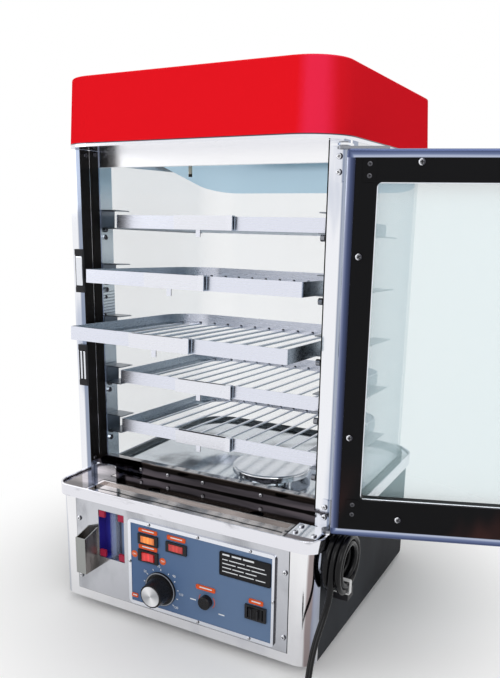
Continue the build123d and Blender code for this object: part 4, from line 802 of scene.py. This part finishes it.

# %% [markdown]
# Each CAD solid takes one of these finishes in its material slots. The solids keep their
# meshes, so their shapes stay as they are.

# %% Finishes on the CAD solids
solid_finishes = {
    black_rubber: ["rubber_feet"],
    front_mirror: ["front_wrap", "bottom_pan"],
    side_charcoal: ["rear_wrap"],
    band_mirror: ["base_band"],
    deck_mirror: ["deck_plate"],
    tray_mirror: ["drip_tray"],
    threshold_mirror: ["threshold_plate"],
    sill_mirror: ["sill_rail"],
    post_chrome: ["door_posts", "hinge_brackets"],
    header_steel: ["header_rail"],
    seal_black: ["rubber_seals"],
    upright_steel: ["uprights"],
    cabinet_glass: ["glass_surround"],
    sheet_steel: ["top_frame", "water_tank"],
    lip_steel: ["hood_base"],
    hood_finish: ["hood"],
    ceiling_steel: ["ceiling_plate"],
    pin_steel: ["hinge_pins", "pivot_plates"],
    probe_metal: ["probe_stem"],
    **{steel: [f"rack_{number}"] for number, steel in rack_steels.items()},
    bracket_steel: ["rack_brackets"],
    dome_steel: ["steam_dome"],
    element_metal: ["heating_element"],
    door_frame_metal: ["door_frame"],
    door_pane: ["door_glass"],
    liner_black: ["door_liner"],
    handle_chrome: ["door_handle"],
    switch_black: ["door_catches", "lamp_frames", "switch_housings", "cord_gland", "mains_plug"],
    strike_steel: ["strikers"],
    panel_field: ["front_panel"],
    chute_steel: ["filler_chute"],
    bezel_chrome: ["control_bezel"],
    plate_blue: ["control_plate"],
    orange_lens: ["orange_lens"],
    red_lens: ["red_lens"],
    power_red: ["power_rocker"],
    dial_black: ["light_rocker", "control_bodies", "small_knob"],
    skirt_black: ["dial_knob"],
    cap_metal: ["dial_cap"],
    window_finish: ["window_tray"],
    gauge_glass: ["gauge_glass"],
    tie_white: ["cord_tie"],
    screw_steel: ["case_screws", "door_screws"],
    lead_rubber: ["cord_tube", "cord_hank"],
}
for finish, names in solid_finishes.items():
    for name in names:
        for material_slot in nodes[name].material_slots:
            material_slot.material = finish.material
mains_lead.data.materials.append(lead_rubber.material)
finished = {name for names in solid_finishes.values() for name in names}
print("solids finished", len(finished), "left", sorted(set(nodes) - finished))

# %% [markdown]
# New pieces are modelled as by hand: a primitive at its size and place, then edit mode
# with a few edges or faces picked by where they are. An operator acts on all that is
# selected, so these helpers deselect everything first.


# %% Picking and adding
def pick(piece):
    """Make one piece the only selected object."""
    bpy.ops.object.select_all(action="DESELECT")
    piece.select_set(True)
    bpy.context.view_layer.objects.active = piece


def added(operator, name, **options):
    """Add a primitive while nothing else is selected, and name it."""
    bpy.ops.object.select_all(action="DESELECT")
    operator(**options)
    piece = bpy.context.object
    piece.name = name
    bpy.ops.object.transform_apply(location=True, rotation=True, scale=True)
    return piece


def cube(name, middle, size, axes=Matrix.Identity(4)):
    """A box of this size round its middle, in metres, along the given axes."""
    piece = added(bpy.ops.mesh.primitive_cube_add, name, size=1, location=(0, 0, 0))
    piece.data.transform(Matrix.Translation(middle) @ axes @ Matrix.Diagonal((*size, 1)))
    return piece


def joined(name, pieces):
    """One object made of several."""
    bpy.ops.object.select_all(action="DESELECT")
    for piece in pieces:
        piece.select_set(True)
    bpy.context.view_layer.objects.active = pieces[0]
    if len(pieces) > 1:
        bpy.ops.object.join()
    whole = bpy.context.object
    whole.name = name
    return whole


def dress(piece, body, slot, *finishes):
    """Give a piece its materials and its body. The slot is not used."""
    if not piece.data.materials:
        for finish in finishes:
            piece.data.materials.append(finish.material)
    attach(piece, body)
    return piece


# %% [markdown]
# Sharp edges never look real, because sheet and plastic always have a small radius that
# catches the light. Edges are therefore picked by a test on their place and bevelled, and
# most printed or moulded parts are plates that this does in one call.


# %% Bevels and plates
def select_in_edit(piece, edges=None, faces=None):
    """Enter edit mode with only the edges or faces for which the test is true."""
    pick(piece)
    bpy.ops.object.mode_set(mode="EDIT")
    bpy.ops.mesh.select_mode(type="EDGE" if edges else "FACE")
    bpy.ops.mesh.select_all(action="DESELECT")
    shape = bmesh.from_edit_mesh(piece.data)
    for part in shape.edges if edges else shape.faces:
        if (edges or faces)(part):
            part.select_set(True)
    shape.select_flush(True)
    bmesh.update_edit_mesh(piece.data)


def leave_edit():
    bpy.ops.object.mode_set(mode="OBJECT")


def all_faces(face):
    return True


def bevel(piece, width, segments, **tests):
    """Bevel what the test picks, or the whole piece."""
    select_in_edit(piece, **(tests or {"faces": all_faces}))
    bpy.ops.mesh.bevel(offset=width, segments=segments, affect="EDGES")
    leave_edit()


def block(name, low, high, corner=0.0, edge=0.0):
    """A plate from low to high in millimetres, with rounded corners and a softened front."""
    low, high = Vector(low) * MM, Vector(high) * MM
    piece = cube(name, (low + high) / 2, high - low)

    def runs_through(part):
        step = part.verts[0].co - part.verts[1].co
        return abs(step.y) > 0.9 * step.length

    def on_the_front(part):
        return all(abs(vertex.co.y - low.y) < 1e-6 for vertex in part.verts)

    if corner:
        bevel(piece, corner * MM, 4, edges=runs_through)
    if edge:
        bevel(piece, edge * MM, 2, edges=on_the_front)
    return piece


# %% [markdown]
# Real screws here have low domed heads with a cross recess. One head is modelled at unit
# size: a disc whose rim is bevelled to a dome, from which two crossed bars are cut. Its
# floor and walls inside the cross are found by their place, and take a dark finish.

# %% Screw head
head_height = 0.6
bar_long, bar_wide, bar_deep, bar_level = 1.05, 0.24, 0.5, 0.55
head = added(
    bpy.ops.mesh.primitive_cylinder_add, "screw_head", radius=1, depth=head_height, vertices=32,
    location=(0, 0, head_height / 2),
)
bevel(head, 0.42, 5, edges=lambda edge: all(v.co.z > head_height - 0.1 for v in edge.verts))
bars = [
    cube("recess_bar", (0, 0, bar_level), size)
    for size in ((bar_long, bar_wide, bar_deep), (bar_wide, bar_long, bar_deep))
]
for bar in bars:
    cut = head.modifiers.new("recess", "BOOLEAN")
    cut.operation = "DIFFERENCE"
    cut.solver = "EXACT"
    cut.object = bar
    pick(head)
    bpy.ops.object.modifier_apply(modifier=cut.name)
for bar in bars:
    bpy.data.objects.remove(bar)
head.data.materials.append(screw_steel.material)
head.data.materials.append(recess_dark.material)
for face in head.data.polygons:
    place = face.center
    near, far = sorted((abs(place.x), abs(place.y)))
    in_cross = near < bar_wide / 2 + 0.01 and far < bar_long / 2 + 0.015
    face.material_index = int(in_cross and place.z < head_height - 0.005)
pick(head)
bpy.ops.object.shade_smooth_by_angle(angle=radians(40))
print("screw head faces", len(head.data.polygons))

# %% [markdown]
# Copies of the head take the places of the plain discs in the CAD. One CAD node holds
# many discs, so its mesh is walked from vertex to vertex to find each loose part, and the
# part's box gives the screw's place and size. No two screws are turned alike.


# %% Screws in place
def solid_boxes(name):
    """The box of each separate solid in a CAD node."""
    shape = bmesh.new()
    shape.from_mesh(nodes[name].data)
    bmesh.ops.remove_doubles(shape, verts=shape.verts, dist=1e-6)
    waiting = set(shape.verts)
    boxes = []
    while waiting:
        edge_of_search = [waiting.pop()]
        found = []
        while edge_of_search:
            vertex = edge_of_search.pop()
            found.append(vertex.co.copy())
            for edge in vertex.link_edges:
                other = edge.other_vert(vertex)
                if other in waiting:
                    waiting.remove(other)
                    edge_of_search.append(other)
        low = Vector(min(place[i] for place in found) for i in range(3))
        high = Vector(max(place[i] for place in found) for i in range(3))
        boxes.append((low, high))
    shape.free()
    return sorted(boxes, key=lambda box: tuple(box[0]))


def screw_at(name, place, radius, outwards, twist):
    """A copy of the screw head with its flat side at place, facing outwards."""
    copy = head.copy()
    copy.data = head.data.copy()
    copy.name = name
    bpy.context.scene.collection.objects.link(copy)
    turn = Vector(outwards).to_track_quat("Z", "Y").to_matrix().to_4x4()
    spin = Matrix.Rotation(radians(twist), 4, "Z")
    copy.data.transform(Matrix.Translation(place) @ turn @ spin @ Matrix.Scale(radius, 4))
    return copy


case_heads = []
for index, (low, high) in enumerate(solid_boxes("case_screws")):
    size = high - low
    middle = (low + high) / 2
    if size.z < size.y:
        place, radius, outwards = (middle.x, middle.y, low.z), size.x / 2, (0, 0, 1)
    else:
        place, radius, outwards = (middle.x, high.y, middle.z), size.z / 2, (0, -1, 0)
    case_heads.append(screw_at("head", place, radius, outwards, 37 * index % 90))
case_screw_heads = dress(joined("case_screw_heads", case_heads), "case", "satin_steel")
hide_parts("case_screws")

head_sink = 0.2 * MM
door_heads = []
for index, (low, high) in enumerate(solid_boxes("door_screws")):
    middle = (low + high) / 2
    middle += door_out * (door_corner - middle).dot(door_out)
    place, radius = middle - door_out * head_sink, (high.z - low.z) / 2
    door_heads.append(screw_at("head", place, radius, -door_out, 29 * index % 90))
door_screw_heads = dress(joined("door_screw_heads", door_heads), "door", "satin_steel")
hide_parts("door_screws")
print("screw heads", len(case_heads), len(door_heads))

# %% [markdown]
# The door's black liner has keys in its inner corners, each held by two dark rivets. They
# are the same head, sunk and dark, at a quarter and three quarters of each key.

# %% Key rivets
liner_side = 29.5 * MM
liner_low = 209.3 * MM
liner_high = 533.2 * MM
key_length = 22 * MM
key_middle = 7.5 * MM
rivet_radius = 2.6 * MM


def on_door(across, up, out=0.0):
    """A point on the door's inner side, in metres."""
    return door_corner + door_along * across + Vector((0, 0, up)) + door_out * out


rivets = []
for across in (liner_side - key_middle, door_width - liner_side + key_middle):
    for low, high in ((liner_high, liner_high + key_length), (liner_low - key_length, liner_low)):
        for share in (0.25, 0.75):
            place = on_door(across, low + (high - low) * share, head_sink)
            rivets.append(screw_at("rivet", place, rivet_radius, -door_out, 20))
for rivet in rivets:
    rivet.data.materials[0] = rivet_dark.material
key_rivets = dress(joined("key_rivets", rivets), "door", "liner_black")
print("rivets", len(rivets))

# %% [markdown]
# The pane sits in a thin bright strip. It is four bars along the liner's inner edge,
# turned with the door.

# %% Pane strip
strip_wall = 1.2 * MM
strip_depth = 1.6 * MM
strip_out = 2.6 * MM
liner_far = door_width - liner_side
door_axes = Matrix((door_along, door_out, (0, 0, 1))).transposed().to_4x4()
strips = []
for name, low, high in (
    ("low", (liner_side, liner_low), (liner_far, liner_low + strip_wall)),
    ("high", (liner_side, liner_high - strip_wall), (liner_far, liner_high)),
    ("near", (liner_side, liner_low), (liner_side + strip_wall, liner_high)),
    ("far", (liner_far - strip_wall, liner_low), (liner_far, liner_high)),
):
    width, height = high[0] - low[0], high[1] - low[1]
    place = on_door((low[0] + high[0]) / 2, (low[1] + high[1]) / 2, strip_out)
    strip = cube(f"strip_{name}", place, (width, strip_depth, height), door_axes)
    bevel(strip, 0.3 * MM, 2)
    strips.append(strip)
pane_strip = dress(joined("pane_strip", strips), "door", "polished_steel", strip_steel)
print("strips", len(strips))

# %% [markdown]
# Printed tabs and plates on the control plate are thin plates with rounded corners. The
# tabs are bare but for a ruled line, and the black plate has only ruled lines. The lines
# and all other white marks are collected and become one piece at the end.

# %% Tabs and black plate
plate_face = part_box("control_plate")[0].y / MM
tab_places = {
    "power_lamp": (-37, 129, 27, 5),
    "power_switch": (-37, 107.5, 27, 5.5),
    "heat_lamp": (4, 129, 25.5, 5.5),
    "thermostat": (-58, 39, 9, 5),
    "timer": (44.6, 76, 26, 5.5),
    "light": (111, 77.5, 18, 5.5),
}


def on_plate(name, x, z, half_width, half_height, front, back=0.0, corner=0.0, edge=0.0):
    """A thin plate round x and z, from front to back before the control plate's face."""
    low = (x - half_width, plate_face - front, z - half_height)
    high = (x + half_width, plate_face - back, z + half_height)
    return block(name, low, high, corner=corner, edge=edge)


tabs = []
rules = []
for name, (x, z, width, height) in tab_places.items():
    tabs.append(on_plate(f"tab_{name}", x, z, width / 2, height / 2, 0.35, corner=1.2))
    rules.append(on_plate(f"tab_rule_{name}", x, z, width * 0.32, 0.7, 0.5, 0.3, corner=0.3))
tabs_piece = dress(joined("label_tabs", tabs), "case", "red_lens", label_orange)

rule_plate = block(
    "rule_plate", (63.4, plate_face - 0.5, 99.7), (129, plate_face, 129), corner=1.5, edge=0.2
)
black_plate = dress(rule_plate, "case", "switch_black", plate_black)

rule_left, rule_width = 67, 58
top_row, row_pitch, below_heading = 125.5, 4.9, 1.2
dashes = (
    (0.0, 0.16, 0.21, 0.42, 0.46, 0.70),
    (0.0, 0.12, 0.15, 0.5, 0.54, 0.93),
    (0.0, 0.3, 0.34, 0.62, 0.65, 0.97),
    (0.0, 0.2, 0.23, 0.48, 0.52, 0.76),
    (0.0, 0.35, 0.38, 0.7, 0.74, 0.95),
)
for row, cuts in enumerate(dashes):
    z = top_row - row_pitch * row - (below_heading if row else 0)
    half = 1.0 if row == 0 else 0.55
    for start, end in zip(cuts[::2], cuts[1::2]):
        low = (rule_left + rule_width * start, plate_face - 0.65, z - half)
        high = (rule_left + rule_width * end, plate_face - 0.45, z + half)
        rules.append(block("rule", low, high, corner=0.2))
print("tabs", len(tabs), "ruled lines", len(rules))

# %% [markdown]
# The dial's scale is a ring of short ticks with plain numbers, over 270 degrees. Numbers
# and ON and OFF are text objects that are turned into thin meshes, because text has no
# faces of its own to export.


# %% Dial marks
def written(text, x, z, height, face):
    """Text that stands on the control plate, as a thin mesh."""
    curve = bpy.data.curves.new("text", "FONT")
    curve.body = text
    curve.align_x = "CENTER"
    curve.align_y = "CENTER"
    curve.size = height * MM
    curve.extrude = 0.06 * MM
    words = bpy.data.objects.new("text", curve)
    bpy.context.scene.collection.objects.link(words)
    pick(words)
    bpy.ops.object.convert(target="MESH")
    words = bpy.context.object
    upright = Matrix.Rotation(radians(90), 4, "X")
    words.data.transform(Matrix.Translation(Vector((x, face, z)) * MM) @ upright)
    return words


dial_low, dial_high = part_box("dial_knob")
scale_x = (dial_low.x + dial_high.x) / 2 / MM
tick_reaches = (24.2, 25.2)
tick_count, first_tick, tick_step = 11, 225, 27
number_reach, number_height = 28.8, 4.4
for step in range(tick_count):
    angle = radians(first_tick - tick_step * step)
    for reach in tick_reaches:
        x, z = scale_x + reach * cos(angle), dial_z + reach * sin(angle)
        rules.append(on_plate("tick", x, z, 0.5, 0.5, 0.25))
for number, turn in ((30, 198), (50, 144), (70, 96), (90, 48), (110, 0), (130, -42)):
    angle = radians(turn)
    x, z = scale_x + number_reach * cos(angle), dial_z + number_reach * sin(angle)
    rules.append(written(str(number), x, z, number_height, plate_face - 0.2))
for x, z in ((27, 57), (66, 48)):
    rules.append(on_plate("bar", x, z, 4, 0.7, 0.25, corner=0.2))
print("white marks", len(rules))

# %% [markdown]
# ON and OFF stand on round orange marks beside the power switch. The timer's scale is an
# arc: a thin ring from which the top, the bottom and the half inside the plate are cut.

# %% Round marks
mark_z, mark_radius, word_height = 94.8, 4.4, 3.4
flat_on_plate = (radians(90), 0, 0)
marks = []
for word, x in (("ON", -57.6), ("OFF", -15.9)):
    mark = added(
        bpy.ops.mesh.primitive_cylinder_add, f"mark_{word}", radius=mark_radius * MM,
        depth=0.4 * MM, vertices=40, rotation=flat_on_plate,
        location=Vector((x, plate_face - 0.2, mark_z)) * MM,
    )
    marks.append(mark)
    rules.append(written(word, x, mark_z, word_height, plate_face - 0.45))

knob_x, knob_z = 46, 60
arc_radius, arc_thickness = 10.6, 0.45
arc_low, arc_high = (knob_z - 6) * MM, (knob_z + 6.5) * MM
arc = added(
    bpy.ops.mesh.primitive_torus_add, "timer_arc", major_radius=arc_radius * MM,
    minor_radius=arc_thickness * MM, major_segments=48, minor_segments=8,
    rotation=flat_on_plate,
    location=Vector((knob_x, plate_face, knob_z)) * MM,
)


def off_the_arc(face):
    middle = face.calc_center_median()
    inside_plate = middle.y > plate_face * MM + 0.0001 * MM
    return middle.z < arc_low or middle.z > arc_high or inside_plate


select_in_edit(arc, faces=off_the_arc)
bpy.ops.mesh.delete(type="FACE")
leave_edit()
marks.append(arc)
round_marks = dress(joined("round_marks", marks), "case", "red_lens", label_orange)
printed_rules = dress(joined("printed_rules", rules), "case", "tie_white", mark_white)
print("round marks", len(marks), "white marks", len(rules))

# %% [markdown]
# The catches on the left post have bright bars between their black end blocks. The light
# switch's rocker has two ridges, and the water window has red corner blocks behind it.
# All of these are small plates with softened fronts.

# %% Catch bars, rocker ridges and window blocks
catch_front, catch_back = -150.7, -149.2
catch_bars = dress(
    joined(
        "catch_bars",
        [
            block(
                "catch_bar", (left, catch_front, low), (right_end, catch_back, high),
                corner=corner, edge=0.5,
            )
            for left, right_end, low, high, corner in (
                (-170.2, -160.2, 413, 449, 1),
                (-168.6, -165.8, 294, 330, 0.6),
                (-163.4, -160.6, 294, 330, 0.6),
            )
        ],
    ),
    "case",
    "polished_steel",
    strip_steel,
)

rocker_low, rocker_high = (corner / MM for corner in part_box("light_rocker"))
rocker_width = rocker_high.x - rocker_low.x
ridges = [
    block(
        "ridge",
        (x - 0.8, rocker_low.y - 0.9, rocker_low.z + 1.5),
        (x + 0.8, rocker_low.y + 1.0, rocker_high.z - 1.5),
        edge=0.4,
    )
    for x in (rocker_low.x + 0.3 * rocker_width, rocker_low.x + 0.7 * rocker_width)
]
rocker_ridges = joined("rocker_ridges", ridges)
dress(rocker_ridges, "light_switch", "black_rocker", switch_black)

window_left, window_right, window_low, window_high = -114.5, -74.6, 76.5, 140
block_size, block_gap = 9, 0.6
blocks = [
    block(
        "window_block", (x, -190.3, z), (x + block_size, -186.5, z + block_size),
        corner=0.6, edge=0.4,
    )
    for x in (window_left + block_gap, window_right - block_size - block_gap)
    for z in (window_low + block_gap, window_high - block_size - block_gap)
]
window_blocks = dress(joined("window_blocks", blocks), "case", "red_lens", block_red)
print("ridges", len(ridges), "window blocks", len(blocks))

# %% [markdown]
# Each rack bracket is held to its upright by a screw and a nut just under it. The nuts
# are short hexagonal prisms, each with a screw's tip standing out of it. On the right, a
# capped bolt stands out of the post under each rack.

# %% Nuts and bolts
fixings = []
rack_tops = [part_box(f"rack_{number}")[1].z for number in (1, 4, 5)]
pitch = rack_tops[1] - rack_tops[2]
levels = [rack_tops[2] + pitch * step for step in range(rack_count)]
upright_low, upright_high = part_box("uprights")
upright_wall = 1.2 * MM
upright_inner = upright_high.x - upright_wall
nut_radius, nut_depth, tip_radius = 3.6, 2.6, 2.3
nut_y, next_nut_y = -0.104, -0.002


def cross_prism(name, radius, depth, sides, place, softness, metal):
    """A prism that lies along X round its place, with softened edges, as a nut or a bolt."""
    prism = added(
        bpy.ops.mesh.primitive_cylinder_add, name, radius=radius * MM, depth=depth * MM,
        vertices=sides, rotation=(0, radians(90), 0), location=place,
    )
    bevel(prism, softness * MM, 2)
    prism.data.materials.append(metal.material)
    return prism


for level in levels:
    for side, drops in ((-1, (20, 29)), (1, (22,))):
        for index, drop in enumerate(drops):
            nut_place = (side * upright_inner, nut_y + next_nut_y * index, level - drop * MM)
            place = Vector(nut_place)
            middle = place - Vector((side * nut_depth / 2 * MM, 0, 0))
            metal = nut_dark if index == 0 else screw_steel
            fixings.append(cross_prism("nut", nut_radius, nut_depth, 6, middle, 0.35, metal))
            tip = place - Vector((side * nut_depth * MM, 0, 0))
            fixings.append(screw_at("tip", tip, tip_radius * MM, (-side, 0, 0), 15 + 30 * index))

bolt_y, bolt_drop = -126, 22
for level in levels:
    for radius, near, far, metal in ((2.2, 149, 158, nut_dark), (3.8, 145.5, 150.5, pin_steel)):
        place = ((near + far) / 2 * MM, bolt_y * MM, level - bolt_drop * MM)
        fixings.append(cross_prism("bolt", radius, far - near, 12, place, 0.4, metal))
print("nuts, tips and bolts", len(fixings))

# %% [markdown]
# The left post's inner face has three screws between the seals, and the upright behind it
# has three more. They are copies of the same head, turned to look to the right.

# %% Post screws
post_inner = upright_low.x + upright_wall
post_step = 1.6 * MM
for y, z in ((-139, 568), (-122, 570), (-141, 186)):
    place = (post_inner + post_step, y * MM, z * MM)
    fixings.append(screw_at("post_screw", place, 2.8 * MM, (1, 0, 0), 40))
for y, z in ((-102, 470), (-106, 395), (-109, 372)):
    place = (post_inner, y * MM, z * MM)
    fixings.append(screw_at("upright_screw", place, 2.4 * MM, (1, 0, 0), 10))
upright_fixings = dress(joined("upright_fixings", fixings), "case", "satin_steel")
bpy.data.objects.remove(head)
print("fixings", len(fixings))

# %% [markdown]
# The stage is a pale floor under a white surround. Only rays that the camera, a mirror or
# a pane sends see the floor and the surround at full white, and near the case the floor
# keeps its own shade, so that the shadow stays.

# %% Floor
whitening_starts, whitening_ends = 0.18, 0.52
reflected_and_clear_rays = ("Is Glossy Ray", "Is Transmission Ray")
bpy.ops.object.select_all(action="DESELECT")
bpy.ops.mesh.primitive_plane_add(size=60, location=(0, 0, 0))
floor = bpy.context.object
floor.name = "floor"
floor_finish = Finish("floor", (0.93, 0.93, 0.93), 0.9)
floor_finish.bump(floor_finish.noise(60), 0.02, fine_relief)
rays = floor_finish.node("ShaderNodeLightPath", output="Is Camera Ray")
for kind in reflected_and_clear_rays:
    rays = rays.most(floor_finish.node("ShaderNodeLightPath", output=kind))
distance = floor_finish.node(
    "ShaderNodeVectorMath", {"operation": "LENGTH"}, {0: floor_finish.object_place}, "Value"
)
white = floor_finish.node("ShaderNodeEmission", None, {"Color": (1, 1, 1, 1)})
plain_floor = Wire(floor_finish, floor_finish.shader.outputs[0])
whitened = floor_finish.node(
    "ShaderNodeMixShader",
    None,
    {0: rays * distance.between(whitening_starts, whitening_ends), 1: plain_floor, 2: white},
)
floor_output = floor_finish.tree.nodes["Material Output"]
floor_finish.tree.links.new(whitened.socket, floor_output.inputs["Surface"])
floor.data.materials.append(floor_finish.material)
print("floor made")

# %% [markdown]
# The surround works in the same way. The light that it throws on the case is dimmer than
# the white that the camera sees, so pale metal keeps its shades.

# %% Surround
dim_strength, seen_strength = 0.55, 1.0
world = bpy.data.worlds.new("surround")
world.use_nodes = True
bpy.context.scene.world = world
world_nodes, world_links = world.node_tree.nodes, world.node_tree.links
light_path = world_nodes.new("ShaderNodeLightPath")
seen = light_path.outputs["Is Camera Ray"]
for kind in reflected_and_clear_rays:
    larger = world_nodes.new("ShaderNodeMath")
    larger.operation = "MAXIMUM"
    world_links.new(seen, larger.inputs[0])
    world_links.new(light_path.outputs[kind], larger.inputs[1])
    seen = larger.outputs[0]
strength = world_nodes.new("ShaderNodeMapRange")
strength.inputs["To Min"].default_value = dim_strength
strength.inputs["To Max"].default_value = seen_strength
world_links.new(seen, strength.inputs["Value"])
backdrop = world_nodes["Background"]
backdrop.inputs["Color"].default_value = (1, 1, 1, 1)
world_links.new(strength.outputs[0], backdrop.inputs["Strength"])
print("surround made")

# %% [markdown]
# Three large soft lamps light the case at a plain level: a key from the front right, a
# weaker fill from the left and one from above. All of them aim at its middle.

# %% Lamps
lamp_aim = Vector((0, 0, 0.35))
lamp_places = {
    "key": ((1.3, -1.5, 1.6), 1.2, 11),
    "fill": ((-1.7, -1.0, 1.2), 1.5, 7),
    "top": ((0.0, 0.2, 2.0), 1.4, 6),
}
for name, (place, size, watts) in lamp_places.items():
    lamp_data = bpy.data.lights.new(name, "AREA")
    lamp_data.size = size
    lamp_data.energy = watts
    lamp = bpy.data.objects.new(name, lamp_data)
    lamp_turn = (lamp_aim - Vector(place)).to_track_quat("-Z", "Y").to_matrix().to_4x4()
    lamp.matrix_world = Matrix.Translation(place) @ lamp_turn
    bpy.context.scene.collection.objects.link(lamp)
bpy.context.scene.view_settings.view_transform = "Standard"
print("lamps", len(lamp_places))

# %% [markdown]
# At the end the view layer is brought up to date. The visual model has to stay inside the
# CAD model's box.

# %% Last update
bpy.context.view_layer.update()
